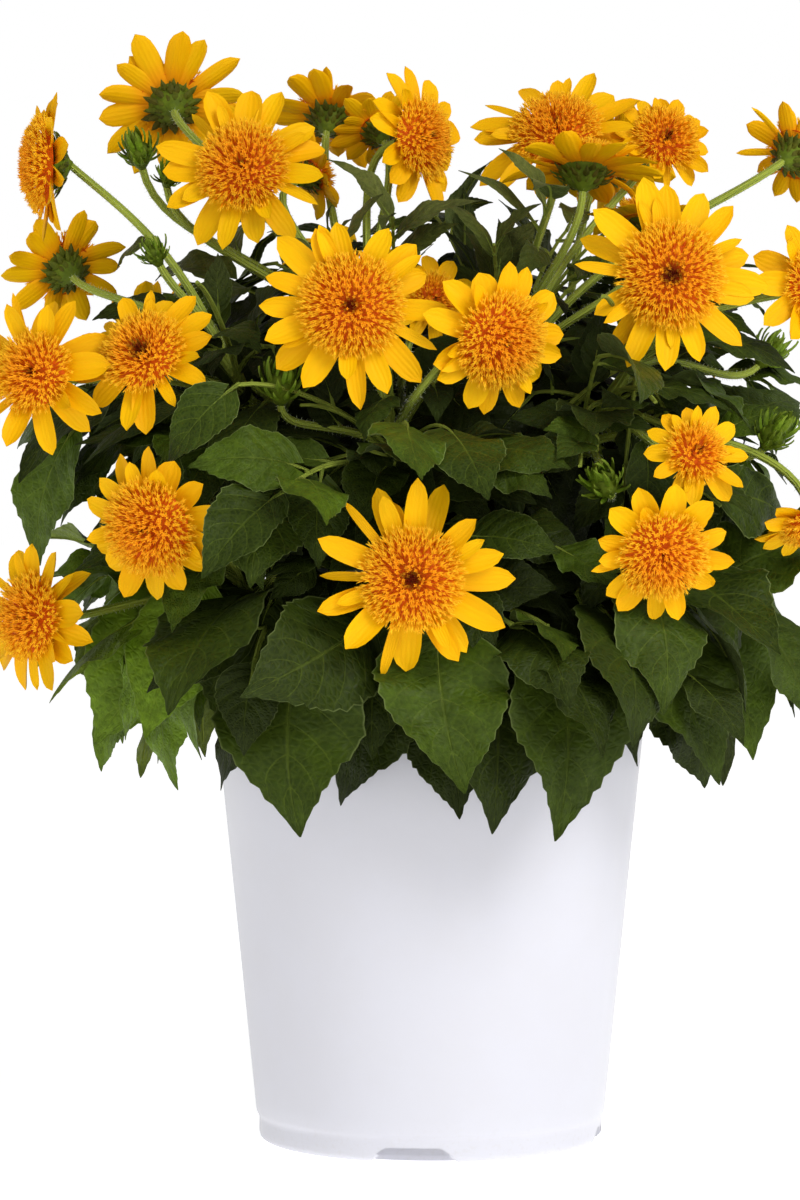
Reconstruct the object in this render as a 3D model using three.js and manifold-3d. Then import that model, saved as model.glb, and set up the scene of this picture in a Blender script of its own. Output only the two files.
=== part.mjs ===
// A double-flowered sunflower plant in a plain white nursery pot.
// Millimetres, +Z up, the front towards -Y. The origin is the centre of the pot's flat underside.
import * as THREE from 'three';
import { mergeVertices } from 'three/addons/utils/BufferGeometryUtils.js';
import Module from 'manifold-3d';

const wasm = await Module();
wasm.setup();

// The pot: a tapered wall with a lip, standing on a foot band with four notches
const POT_HEIGHT = 262;
const POT_WALL = 1.6;
const POT_FLOOR = 3;
const POT_SHOULDER_HEIGHT = 24;
const POT_SHOULDER_RADIUS = 98.5;
const POT_TOP_RADIUS = 122.5;
const POT_SEGMENTS = 26;
const FOOT_HEIGHT = 13.5;
const FOOT_RADIUS = 96;
const FOOT_EDGE = 5;
const FOOT_INNER_RADIUS = 81;
const LIP_HEIGHT = 11;
const LIP_OUT = 2.5;
const NOTCH_COUNT = 4;
const NOTCH_TURN = -6;
const NOTCH_BOTTOM = 48;
const NOTCH_TOP = 31;
const NOTCH_HEIGHT = 7.7;
const NOTCH_BACK_RADIUS = 86;
const SOIL_TOP = 235;

// The gap kept between two pieces that touch, and the shortest edge kept on a joined piece
const SEAT = 0.3;
const SHORT_EDGE = 0.006;

// The main stem: height of each ring of its axis, how far it leans there (x, y), and its radius
const STEM_RINGS = [
  [SOIL_TOP + SEAT, 2, 4, 14],
  [242, 2, 4, 10.2],
  [252, 0, 4, 8.6],
  [300, -6, 3, 7.6],
  [350, -4, 6, 6.3],
  [398, -14, 8, 5],
];

// The masses of foliage, each round its heart: name, turn of the heart from the front in degrees,
// its distance from the axis, its height, and the height where its bough leaves the main stem
const MASSES = [
  ['low_front', 0, 96, 292, 254],
  ['low_front_right', 60, 98, 292, 268],
  ['low_back_right', 120, 98, 292, 282],
  ['low_back', 180, 98, 292, 254],
  ['low_back_left', 240, 98, 292, 268],
  ['low_front_left', 300, 98, 292, 282],
  ['mid_front', -14, 84, 378, 302],
  ['mid_right', 66, 92, 384, 316],
  ['mid_back_right', 140, 92, 384, 330],
  ['mid_back_left', 214, 92, 384, 302],
  ['mid_left', 290, 92, 384, 316],
  ['top_right', 92, 42, 420, 356],
  ['top_left', 280, 42, 420, 398],
];
const STEM_BORNE = 'top_left';
const BOUGH_RADIUS = 4.6;
const BOUGH_TIP_RADIUS = 3.4;
const BOUGH_SHORT = 20;
const BRANCH_SPACING = 5.5;
const SPACE_OVERRUN = 18;

// The stalks, shoots and leaves
const STALK_RADIUS = 2.4;
const STALK_TIP_RADIUS = 2.1;
const SHOOT_RADIUS = 1.9;
const SHOOT_TIP_RADIUS = 1.2;
const OUTER_SHOOTS = { count: 54, low: 250, high: 480, reach: 0.72 };
const INNER_SHOOTS = { count: 24, low: 280, high: 450, reach: 0.5 };
const LEAF_SPACING = 19;
const LEAF_FOLD = 0.07;
const LEAF_LOW = { height: 300, length: 122, width: 76, droop: 58 };
const LEAF_HIGH = { height: 490, length: 70, width: 30, droop: 68 };
const GOLDEN_ANGLE = 137.5;
const TRIES = 5;
const TRY_TURN = 47;
const TRY_SHRINK = 0.07;
const SEED = 7;

// The crown: its widest level and radius, and how far it goes up and down from there
const CROWN_LEVEL = 360;
const CROWN_RADIUS = 236;
const CROWN_UP = 225;
const CROWN_DOWN = 196;

// The blooms: name, centre of the head's back (x, y, z), reach of the rays, radius of the disc,
// and where the head faces (turn from the front, lift above level, in degrees)
const BLOOMS = [
  ['low_centre', -11, -176, 317, 47, 26, 0, 2],
  ['low_left', -146, -146, 344, 38, 25, -24, -12],
  ['far_low_left', -214, -84, 294, 41, 22, -42, 4],
  ['low_right', 119, -158, 331, 36, 23, 12, -22],
  ['small_right', 138, -134, 382, 27, 15, 14, 18],
  ['edge_low_right', 205, -84, 346, 29, 16, 20, -58],
  ['left', -211, -102, 425, 42, 21, -22, 8],
  ['inner_left', -152, -114, 434, 39, 22, -22, 24],
  ['centre', -43, -134, 459, 47, 27, 0, 6],
  ['inner_right', 34, -126, 443, 39, 25, 28, -14],
  ['behind_centre', 0, -66, 466, 25, 13, 24, 12],
  ['right', 127, -98, 477, 47, 28, 4, 2],
  ['edge_right', 208, -58, 474, 35, 18, 24, 8],
  ['upper_left', -103, -24, 540, 45, 25, -8, 16],
  ['side_left', -213, 12, 545, 38, 26, -76, 0],
  ['far_left', -208, 46, 488, 34, 19, -150, 26],
  ['top_far_left', -148, 66, 583, 41, 22, -170, 24],
  ['top_back', -58, 72, 576, 34, 18, 172, 46],
  ['small_top', -29, 34, 566, 25, 13, -160, 38],
  ['top_centre', -8, -4, 558, 37, 22, 52, 4],
  ['small_behind_left', -66, 26, 540, 23, 11, 122, 20],
  ['top_right', 72, 42, 564, 46, 25, -8, 38],
  ['flat_right', 84, -32, 538, 40, 23, 172, 72],
  ['small_top_right', 133, 46, 561, 27, 18, 12, 20],
  ['flat_behind_right', 121, 4, 513, 33, 17, -178, 78],
  ['edge_top_right', 203, 4, 550, 31, 17, 142, 22],
  ['back_high', 104, 116, 556, 38, 22, 152, 26],
  ['back_right', 148, 118, 470, 42, 24, 128, 12],
  ['back_left', -162, 132, 446, 41, 24, -142, 10],
  ['back_centre', -46, 158, 476, 43, 25, -172, 12],
  ['back_low', 24, 186, 352, 40, 23, 170, -4],
];
const RAY_COUNT = 11;
const SMALL_RAY_COUNT = 9;
const SMALL_BLOOM = 36;
const CUP_DEPTH = 11;
const BLOOM_FRONT_CLEAR = 55;

// The buds: centre (x, y, z), radius, and where they face (turn, lift)
const BUDS = [
  [-164, 24, 552, 8, -20, 62],
  [-146, 2, 538, 6, 30, 58],
  [-80, -112, 418, 9, 10, 70],
  [91, -128, 366, 8, -30, 40],
  [186, -60, 392, 8, 60, 50],
  [-152, -36, 492, 6, -60, 60],
  [192, 44, 440, 8, 100, 55],
  [70, 158, 430, 8, 160, 50],
];

// The leaves that hang over the rim: turn from the front, height of the tip, length with its stalk
const HANGING = [
  [-72, 211, 116],
  [-55, 228, 100],
  [-39, 222, 100],
  [-27, 183, 118],
  [-12, 222, 92],
  [1, 206, 98],
  [13, 184, 114],
  [25, 181, 118],
  [37, 216, 98],
  [50, 203, 114],
  [62, 226, 104],
  [77, 214, 110],
];
const HANGING_BACK_COUNT = 9;
const HANGING_BACK_FROM = 95;
const HANGING_BACK_STEP = 21;
const HANGING_RADIUS = 129.5;
const HANGING_STAGGER = 15;
const HANGING_WIDTH = 0.52;
const HANGING_SLOPE = 55;
const HANGING_DROOP = 30;

const UP = new THREE.Vector3(0, 0, 1);

// Directions and seeded chance
function radians(degrees) {
  return THREE.MathUtils.degToRad(degrees);
}

function chance(row, column) {
  const wave = Math.sin(SEED + row * 12.9898 + column * 78.233) * 43758.5453;
  return wave - Math.floor(wave);
}

function between(low, high, row, column) {
  return low + (high - low) * chance(row, column);
}

function facing(turn, lift) {
  const level = Math.cos(radians(lift));
  const x = Math.sin(radians(turn)) * level;
  const y = -Math.cos(radians(turn)) * level;
  return new THREE.Vector3(x, y, Math.sin(radians(lift)));
}

function placeAt(turn, radius, height) {
  return facing(turn, 0).multiplyScalar(radius).setZ(height);
}

function outward(point) {
  return new THREE.Vector3(point.x, point.y, 0).normalize();
}

function squareTo(vector, axis) {
  return vector.clone().addScaledVector(axis, -vector.dot(axis)).normalize();
}

// Closes a three.js geometry: one vertex at each place and no empty triangles
function closed(geometry) {
  geometry.deleteAttribute('normal');
  geometry.deleteAttribute('uv');
  const merged = mergeVertices(geometry, 1e-4);
  const index = merged.index.array;
  const kept = [];
  for (let i = 0; i < index.length; i += 3) {
    const [a, b, c] = [index[i], index[i + 1], index[i + 2]];
    if (a !== b && b !== c && c !== a) {
      kept.push(a, b, c);
    }
  }
  merged.setIndex(kept);
  return merged;
}

function solidOf(geometry) {
  return new wasm.Manifold(new wasm.Mesh({
    numProp: 3,
    vertProperties: new Float32Array(geometry.attributes.position.array),
    triVerts: new Uint32Array(geometry.index.array),
  }));
}

function joined(solids) {
  let level = solids;
  while (level.length > 1) {
    const next = [];
    for (let i = 0; i < level.length; i += 2) {
      next.push(i + 1 < level.length ? level[i].add(level[i + 1]) : level[i]);
    }
    level = next;
  }
  return level[0];
}

// Closes up the very short edges that joining leaves where two surfaces nearly miss each other
function withoutShortEdges(position, faces) {
  const neighbours = new Map();
  for (const face of faces) {
    face.forEach((corner, i) => {
      if (!neighbours.has(corner)) {
        neighbours.set(corner, new Set());
      }
      neighbours.get(corner).add(face[(i + 1) % 3]);
    });
  }
  const isShort = (a, b) => (
    Math.hypot(...[0, 1, 2].map((i) => position[3 * a + i] - position[3 * b + i])) < SHORT_EDGE);
  for (const [corner, ring] of neighbours) {
    for (const other of ring) {
      const shared = [...ring].filter((third) => neighbours.get(other).has(third));
      if (isShort(corner, other) && shared.length === 2) {
        const closer = faces
          .map((face) => face.map((index) => (index === other ? corner : index)))
          .filter(([a, b, c]) => a !== b && b !== c && c !== a);
        return withoutShortEdges(position, closer);
      }
    }
  }
  return faces;
}

// The faces of the largest body: a hollow that joining sealed is filled
function largestBody(faces) {
  const parent = new Map();
  const root = (index) => {
    let place = index;
    while (parent.has(place)) {
      place = parent.get(place);
    }
    return place;
  };
  for (const [a, ...others] of faces) {
    for (const other of others) {
      if (root(a) !== root(other)) {
        parent.set(root(other), root(a));
      }
    }
  }
  const bodies = new Map();
  for (const face of faces) {
    const key = root(face[0]);
    bodies.set(key, [...(bodies.get(key) ?? []), face]);
  }
  return [...bodies.values()].reduce((best, body) => (body.length > best.length ? body : best));
}

// Draws apart the corners that nearly meet without sharing an edge
function drawApart(position, corners) {
  const ordered = [...corners].sort((a, b) => position[3 * a] - position[3 * b]);
  ordered.forEach((corner, i) => {
    for (let j = i + 1; j < ordered.length; j += 1) {
      const other = ordered[j];
      const gap = [0, 1, 2].map((axis) => position[3 * other + axis] - position[3 * corner + axis]);
      if (gap[0] > SHORT_EDGE) {
        break;
      }
      const distance = Math.hypot(...gap);
      if (distance < SHORT_EDGE) {
        const push = (SHORT_EDGE - distance) / (2 * distance);
        gap.forEach((along, axis) => {
          position[3 * corner + axis] -= along * push;
          position[3 * other + axis] += along * push;
        });
      }
    }
  });
}

function geometryOf(solid) {
  const mesh = solid.getMesh();
  const faces = [];
  for (let i = 0; i < mesh.triVerts.length; i += 3) {
    faces.push([mesh.triVerts[i], mesh.triVerts[i + 1], mesh.triVerts[i + 2]]);
  }
  const skin = largestBody(withoutShortEdges(mesh.vertProperties, faces));
  drawApart(mesh.vertProperties, [...new Set(skin.flat())]);
  const geometry = new THREE.BufferGeometry();
  geometry.setAttribute('position', new THREE.BufferAttribute(new Float32Array(mesh.vertProperties), 3));
  geometry.setIndex(skin.flat());
  geometry.computeVertexNormals();
  return geometry;
}

// A limb: a cylinder bent through stations, each with its centre, direction and radius
function limb(stations, sides) {
  const steps = stations.length - 1;
  const geometry = closed(new THREE.CylinderGeometry(1, 1, steps, sides, steps));
  const start = stations[0].along;
  let across = squareTo(Math.abs(start.z) > 0.9 ? new THREE.Vector3(1, 0, 0) : UP, start);
  const frames = stations.map(({ along }) => {
    across = squareTo(across, along);
    return { across, side: across.clone().cross(along) };
  });
  const position = geometry.attributes.position;
  for (let i = 0; i < position.count; i += 1) {
    const step = Math.round(position.getY(i) + steps / 2);
    const { centre, radius } = stations[step];
    const point = centre.clone()
      .addScaledVector(frames[step].across, position.getX(i) * radius)
      .addScaledVector(frames[step].side, position.getZ(i) * radius);
    position.setXYZ(i, point.x, point.y, point.z);
  }
  return solidOf(geometry);
}

// Even stations along a curve, tapering from one radius to another
function tapering(curve, from, to, steps) {
  return Array.from({ length: steps + 1 }, (_, i) => ({
    centre: curve.getPointAt(i / steps),
    along: curve.getTangentAt(i / steps),
    radius: THREE.MathUtils.lerp(from, to, i / steps),
  }));
}

// Further stations straight on from the end of a limb, given as radius and distance
function widened(stations, along, rings) {
  const last = stations[stations.length - 1];
  last.along = along;
  return [...stations, ...rings.map(([radius, ahead]) => (
    { centre: last.centre.clone().addScaledVector(along, ahead), along, radius }))];
}

// A turned piece, its profile given as radius and height, laid with its axis along a direction
function turned(profile, segments, centre, direction) {
  const points = profile.map(([radius, height]) => new THREE.Vector2(radius, height));
  const geometry = closed(new THREE.LatheGeometry(points, segments));
  geometry.applyQuaternion(new THREE.Quaternion().setFromUnitVectors(new THREE.Vector3(0, 1, 0), direction));
  geometry.translate(centre.x, centre.y, centre.z);
  return solidOf(geometry);
}

// A blade of four corners (root, left, tip, right) under a ridge point, and flat below
function blade(root, left, tip, right, ridge) {
  const geometry = new THREE.BufferGeometry().setFromPoints([root, left, tip, right, ridge]);
  geometry.setIndex([0, 1, 4, 1, 2, 4, 2, 3, 4, 3, 0, 4, 3, 1, 0, 1, 3, 2]);
  return solidOf(geometry);
}

// Pot and soil
const POT_SLOPE = (POT_TOP_RADIUS - POT_SHOULDER_RADIUS) / (POT_HEIGHT - POT_SHOULDER_HEIGHT);

function wallRadius(height) {
  return POT_SHOULDER_RADIUS + (height - POT_SHOULDER_HEIGHT) * POT_SLOPE;
}

function footNotch(turn) {
  const shoulder = NOTCH_HEIGHT * 0.6;
  const shape = new THREE.Shape();
  shape.moveTo(-NOTCH_BOTTOM / 2, -1);
  shape.lineTo(NOTCH_BOTTOM / 2, -1);
  shape.lineTo(NOTCH_BOTTOM / 2 - 2, shoulder);
  shape.lineTo(NOTCH_TOP / 2, NOTCH_HEIGHT);
  shape.lineTo(-NOTCH_TOP / 2, NOTCH_HEIGHT);
  shape.lineTo(-NOTCH_BOTTOM / 2 + 2, shoulder);
  const geometry = closed(new THREE.ExtrudeGeometry(shape, { depth: 40, bevelEnabled: false }));
  geometry.rotateX(Math.PI / 2);
  geometry.translate(0, -NOTCH_BACK_RADIUS, 0);
  geometry.rotateZ(radians(turn));
  return solidOf(geometry);
}

function makePot() {
  const lipFoot = POT_HEIGHT - LIP_HEIGHT;
  const lipRadius = POT_TOP_RADIUS + LIP_OUT;
  let pot = turned([
    [0, 0],
    [FOOT_RADIUS - FOOT_EDGE, 0],
    [FOOT_RADIUS - FOOT_EDGE * 0.3, FOOT_EDGE * 0.3],
    [FOOT_RADIUS, FOOT_EDGE],
    [FOOT_RADIUS, FOOT_HEIGHT],
    [POT_SHOULDER_RADIUS - 1, FOOT_HEIGHT + 2],
    [POT_SHOULDER_RADIUS, POT_SHOULDER_HEIGHT],
    [wallRadius(lipFoot), lipFoot],
    [lipRadius, lipFoot],
    [lipRadius, POT_HEIGHT - 1],
    [lipRadius - 1, POT_HEIGHT],
    [POT_TOP_RADIUS - POT_WALL, POT_HEIGHT],
    [POT_SHOULDER_RADIUS - POT_WALL, POT_SHOULDER_HEIGHT],
    [FOOT_RADIUS - POT_WALL, FOOT_HEIGHT],
    [FOOT_INNER_RADIUS, FOOT_HEIGHT],
    [FOOT_INNER_RADIUS, POT_FLOOR],
    [0, POT_FLOOR],
  ], POT_SEGMENTS, new THREE.Vector3(), UP);
  for (let i = 0; i < NOTCH_COUNT; i += 1) {
    pot = pot.subtract(footNotch(NOTCH_TURN + (i * 360) / NOTCH_COUNT));
  }
  return pot;
}

function makeSoil() {
  const gap = POT_WALL + 2 * SEAT;
  return turned([
    [0, POT_FLOOR + SEAT],
    [FOOT_INNER_RADIUS - SEAT, POT_FLOOR + SEAT],
    [FOOT_INNER_RADIUS - SEAT, FOOT_HEIGHT + SEAT],
    [FOOT_RADIUS - gap, FOOT_HEIGHT + SEAT],
    [POT_SHOULDER_RADIUS - gap, POT_SHOULDER_HEIGHT],
    [wallRadius(SOIL_TOP) - gap, SOIL_TOP],
    [0, SOIL_TOP],
  ], POT_SEGMENTS, new THREE.Vector3(), UP);
}

// The main stem: level rings, so that its foot is cut flat at the soil
function stemPoint(height) {
  const above = STEM_RINGS.findIndex(([level]) => level >= height - 1e-6);
  const [z1, x1, y1] = STEM_RINGS[Math.max(above, 1)];
  const [z0, x0, y0] = STEM_RINGS[Math.max(above, 1) - 1];
  const share = (height - z0) / (z1 - z0);
  return new THREE.Vector3(x0 + (x1 - x0) * share, y0 + (y1 - y0) * share, height);
}

function makeStem(swell) {
  const steps = STEM_RINGS.length - 1;
  const geometry = closed(new THREE.CylinderGeometry(1, 1, steps, 10, steps));
  const position = geometry.attributes.position;
  for (let i = 0; i < position.count; i += 1) {
    const [level, x, y, radius] = STEM_RINGS[Math.round(position.getY(i) + steps / 2)];
    const reach = radius + swell;
    position.setXYZ(i, x - position.getX(i) * reach, y + position.getZ(i) * reach, level);
  }
  return solidOf(geometry);
}

// The hearts of the masses, and the space that each mass keeps to
const masses = MASSES.map(([name, turn, radius, height, root]) => (
  { name, heart: placeAt(turn, radius, height), root: stemPoint(root) }));

function nearestMass(point) {
  return masses.reduce((best, mass) => (
    mass.heart.distanceTo(point) < best.heart.distanceTo(point) ? mass : best));
}

function inSpace(mass, point, overrun) {
  return masses.every((other) => {
    if (other === mass) {
      return true;
    }
    const across = other.heart.clone().sub(mass.heart);
    const past = point.clone().sub(mass.heart).dot(across) / across.length() - across.length() / 2;
    return past < overrun;
  });
}

function crownReach(height) {
  const upper = height > CROWN_LEVEL;
  const rise = Math.abs(height - CROWN_LEVEL) / (upper ? CROWN_UP : CROWN_DOWN);
  return rise < 1 ? CROWN_RADIUS * Math.sqrt(1 - rise ** (upper ? 2.4 : 4)) : 0;
}

// Moves a curve's middle point towards the chord until it lies in the mass's own space
function settled(mass, point, chordPoint) {
  const place = point.clone();
  for (let i = 0; i < 6 && !inSpace(mass, place, 0); i += 1) {
    place.lerp(chordPoint, 0.35);
  }
  return place;
}

// A bough: one tapering limb from the main stem to where it enters its mass
function boughCurve(mass) {
  const into = mass.heart.clone().sub(mass.root).normalize();
  const tip = mass.heart.clone().addScaledVector(into, -BOUGH_SHORT);
  const sag = mass.root.clone().lerp(tip, 0.5).addScaledVector(UP, -0.08 * mass.root.distanceTo(tip));
  return new THREE.QuadraticBezierCurve3(mass.root, sag, tip);
}

// The stem of a mass: it meets the bough's tip, or the main stem's, and runs through the heart,
// long enough for all that branches off it
function massStemCurve(mass) {
  const borne = mass.name === STEM_BORNE;
  const bough = boughCurve(mass);
  const tip = borne ? mass.root : bough.getPoint(1);
  const along = borne ? UP : bough.getTangent(1);
  const start = tip.clone().addScaledVector(along, SEAT);
  const lead = mass.heart.clone().sub(start).normalize().addScaledVector(UP, 0.7).normalize();
  const end = mass.heart.clone().addScaledVector(lead, Math.max(mass.branches * BRANCH_SPACING - BOUGH_SHORT, 8));
  return new THREE.QuadraticBezierCurve3(start, start.clone().addScaledVector(along, BOUGH_SHORT * 0.6), end);
}

// The next free place on a mass's stem
function branchPlace(mass) {
  mass.branched += 1;
  return mass.stem.getPointAt(0.08 + (0.84 * mass.branched) / (mass.branches + 1));
}

// A stalk to the back of a bloom or bud
function stalkCurve(mass, start, end, direction) {
  const reach = start.distanceTo(end);
  const near = start.clone().lerp(end, 0.3);
  const far = start.clone().lerp(end, 0.75);
  const rise = near.clone().addScaledVector(UP, 0.22 * reach);
  const back = end.clone().addScaledVector(direction, -0.3 * reach);
  return new THREE.CubicBezierCurve3(start, settled(mass, rise, near), settled(mass, back, far), end);
}

// A leafy shoot towards the outside of the crown
function shootCurve(start, target) {
  const reach = start.distanceTo(target);
  const first = start.clone().lerp(target, 0.35).addScaledVector(UP, 0.14 * reach);
  const second = start.clone().lerp(target, 0.75).addScaledVector(UP, 0.12 * reach);
  return new THREE.CubicBezierCurve3(start, first, second, target);
}

// A leaf: its midrib bends from its direction away from its face, as far as its droop
function midrib(leaf, share) {
  const bend = radians(leaf.droop);
  const ahead = (Math.sin(bend * share) / bend) * leaf.length;
  const down = ((1 - Math.cos(bend * share)) / bend) * leaf.length;
  return leaf.base.clone().addScaledVector(leaf.along, ahead).addScaledVector(leaf.face, -down);
}

function leafOutline(leaf) {
  const side = leaf.along.clone().cross(leaf.face).normalize();
  const corner = (half) => midrib(leaf, 0.52)
    .addScaledVector(side, half * leaf.width)
    .addScaledVector(leaf.face, -LEAF_FOLD * leaf.width);
  return [leaf.base.clone(), corner(0.5), midrib(leaf, 1), corner(-0.5)];
}

function leafSolid(leaf, swell) {
  const side = leaf.along.clone().cross(leaf.face).normalize();
  const [root, left, tip, right] = leafOutline(leaf);
  for (const point of [left, tip, right]) {
    point.addScaledVector(leaf.face, -swell);
  }
  left.addScaledVector(side, swell);
  right.addScaledVector(side, -swell);
  const ridge = midrib(leaf, 0.5).addScaledVector(leaf.face, swell);
  return blade(root, left, tip, right, ridge);
}

function leafSize(height, size) {
  const share = THREE.MathUtils.clamp((height - LEAF_LOW.height) / (LEAF_HIGH.height - LEAF_LOW.height), 0, 1);
  return {
    length: THREE.MathUtils.lerp(LEAF_LOW.length, LEAF_HIGH.length, share) * size,
    width: THREE.MathUtils.lerp(LEAF_LOW.width, LEAF_HIGH.width, share) * size,
    droop: THREE.MathUtils.lerp(LEAF_LOW.droop, LEAF_HIGH.droop, share),
  };
}

// A place for a leaf on a stalk or shoot, which the leaf may take in one of a few ways:
// each further try turns it round its twig and makes it a little smaller
function leafAt({ branch, share, order, ahead, scale }, attempt) {
  const base = branch.curve.getPointAt(share);
  const tangent = branch.curve.getTangentAt(share);
  const turn = radians(order * GOLDEN_ANGLE + attempt * TRY_TURN);
  const round = squareTo(UP, tangent).applyAxisAngle(tangent, turn);
  const along = tangent.clone().multiplyScalar(ahead)
    .addScaledVector(round, 0.9 - 0.6 * ahead)
    .addScaledVector(outward(base), 0.45)
    .normalize();
  const face = squareTo(UP.clone().addScaledVector(outward(base), 0.8), along);
  const size = scale * between(0.86, 1.08, order, 3) * (1 - attempt * TRY_SHRINK);
  return { mass: branch.mass, carrier: branch.piece, base, along, face, ...leafSize(base.z, size) };
}

function hangingLeaf([turn, tip, length], order) {
  const slope = radians(HANGING_SLOPE);
  const end = radians(HANGING_SLOPE + HANGING_DROOP);
  const drop = ((Math.cos(slope) - Math.cos(end)) / (end - slope)) * length;
  const base = placeAt(turn, HANGING_RADIUS + (order % 2) * HANGING_STAGGER, tip + drop);
  const along = facing(turn, -HANGING_SLOPE);
  const face = facing(turn, 90 - HANGING_SLOPE);
  const mass = nearestMass(placeAt(turn, HANGING_RADIUS, MASSES[0][3]));
  return { mass, base, along, face, length, width: length * HANGING_WIDTH, droop: HANGING_DROOP };
}

// Blooms and buds
const blooms = BLOOMS.map(([name, x, y, z, reach, disc, turn, lift]) => {
  const centre = new THREE.Vector3(x, y, z);
  return { name, centre, reach, disc, axis: facing(turn, lift), mass: nearestMass(centre) };
});

const buds = BUDS.map(([x, y, z, radius, turn, lift]) => {
  const centre = new THREE.Vector3(x, y, z);
  return { centre, radius, axis: facing(turn, lift), mass: nearestMass(centre) };
});

// A bloom: a domed disc with rays round it, its back flat where it sits on the green cup
function makeBloom(bloom, order) {
  const { centre, reach, disc, axis } = bloom;
  const across = squareTo(Math.abs(axis.z) > 0.9 ? new THREE.Vector3(0, 1, 0) : UP, axis);
  const side = axis.clone().cross(across);
  const at = (turn, radius, height) => centre.clone()
    .addScaledVector(across, Math.cos(radians(turn)) * radius)
    .addScaledVector(side, Math.sin(radians(turn)) * radius)
    .addScaledVector(axis, height);
  const points = [at(0, 0, 0), at(0, 0, 0.62 * disc)];
  const triangles = [];
  const count = reach > SMALL_BLOOM ? RAY_COUNT : SMALL_RAY_COUNT;
  const step = 360 / count;
  for (let i = 0; i < count; i += 1) {
    const turn = (i + between(-0.12, 0.12, order, i)) * step;
    const lift = Math.tan(radians(between(2, 16, order, i + 20))) * (reach - disc);
    const shoulder = disc + 0.5 * (reach - disc);
    const spread = (0.34 * step * reach) / shoulder;
    points.push(
      at((i - 0.5) * step, 0.96 * disc, 0),
      at((i - 0.5) * step, 0.8 * disc, 0.46 * disc),
      at(turn, 0.98 * disc, 0.2 * disc),
      at(turn - spread, shoulder, 0.06 * disc + 0.5 * lift),
      at(turn, reach, 0.06 * disc + lift),
      at(turn + spread, shoulder, 0.06 * disc + 0.5 * lift),
    );
    const [notch, brow, throat, left, tip, right] = [0, 1, 2, 3, 4, 5].map((k) => 2 + i * 6 + k);
    const nextNotch = 2 + ((i + 1) % count) * 6;
    const nextBrow = nextNotch + 1;
    triangles.push(
      1, brow, nextBrow, brow, throat, nextBrow,
      brow, notch, throat, nextBrow, throat, nextNotch,
      throat, notch, left, throat, left, tip, throat, tip, right, throat, right, nextNotch,
      0, nextNotch, notch, notch, nextNotch, tip, notch, tip, left, nextNotch, right, tip,
    );
  }
  const geometry = new THREE.BufferGeometry().setFromPoints(points);
  geometry.setIndex(triangles);
  return solidOf(geometry);
}

// The green cup under a bloom, and a bud, as rings beyond the end of their stalk
function cupRings({ disc }) {
  return [[0.42 * disc, 0.45 * CUP_DEPTH], [0.6 * disc, CUP_DEPTH - SEAT]];
}

function budRings({ radius }) {
  return [[0.8 * radius, 0.4 * radius], [radius, 1.2 * radius], [0.4 * radius, 2.4 * radius]];
}

// Nothing grows through a bloom or just in front of its face
function clearOfBlooms(point) {
  return blooms.every(({ centre, reach, axis }) => {
    const offset = point.clone().sub(centre);
    const ahead = offset.dot(axis);
    const aside = offset.addScaledVector(axis, -ahead).length();
    const beside = ahead < 20 ? reach : 0.75 * reach;
    return ahead < -7 || ahead > BLOOM_FRONT_CLEAR || aside > beside;
  });
}

// What has grown so far, with the box round each piece, so that a new one can be kept off it
const grown = [];

function grow(mass, solid) {
  const piece = { mass, solid, box: solid.boundingBox() };
  grown.push(piece);
  return piece;
}

function boxesMeet(a, b) {
  return [0, 1, 2].every((i) => a.min[i] <= b.max[i] && a.max[i] >= b.min[i]);
}

function touches(solid, isOwn) {
  const box = solid.boundingBox();
  return grown.some((other) => (
    !isOwn(other) && boxesMeet(box, other.box) && solid.intersect(other.solid).volume() > 1e-4));
}

const group = new THREE.Group();

function addNode(name, solid, colour, roughness) {
  const material = new THREE.MeshStandardMaterial({ color: colour, roughness, metalness: 0 });
  const mesh = new THREE.Mesh(geometryOf(solid), material);
  mesh.name = name;
  group.add(mesh);
}

// What each mass bears: the blooms and buds nearest to its heart, and the leafy shoots, whose tips
// lie at golden angles over the outside of the crown
const ends = [];
for (const bloom of blooms) {
  const end = bloom.centre.clone().addScaledVector(bloom.axis, -CUP_DEPTH);
  ends.push({ mass: bloom.mass, end, axis: bloom.axis, rings: cupRings(bloom) });
}
for (const bud of buds) {
  const end = bud.centre.clone().addScaledVector(bud.axis, -bud.radius);
  ends.push({ mass: bud.mass, end, axis: bud.axis, rings: budRings(bud) });
}
const hanging = [...HANGING];
for (let i = 0; i < HANGING_BACK_COUNT; i += 1) {
  const turn = HANGING_BACK_FROM + i * HANGING_BACK_STEP;
  hanging.push([turn, between(188, 222, i, 60), between(98, 116, i, 61)]);
}
hanging.forEach((row, order) => {
  const leaf = hangingLeaf(row, order);
  ends.push({ mass: leaf.mass, end: leaf.base.clone(), leaf });
});
for (const { count, low, high, reach } of [OUTER_SHOOTS, INNER_SHOOTS]) {
  for (let i = 0; i < count; i += 1) {
    const height = THREE.MathUtils.lerp(low, high, (i + 0.5) / count);
    const radius = crownReach(height) * reach * between(0.88, 1.08, i, count);
    const end = placeAt(i * GOLDEN_ANGLE, radius, height);
    if (clearOfBlooms(end)) {
      ends.push({ mass: nearestMass(end), end });
    }
  }
}
ends.sort((a, b) => a.end.z - b.end.z);
for (const mass of masses) {
  mass.branched = 0;
  mass.branches = ends.filter((row) => row.mass === mass).length;
  mass.stem = massStemCurve(mass);
}

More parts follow.
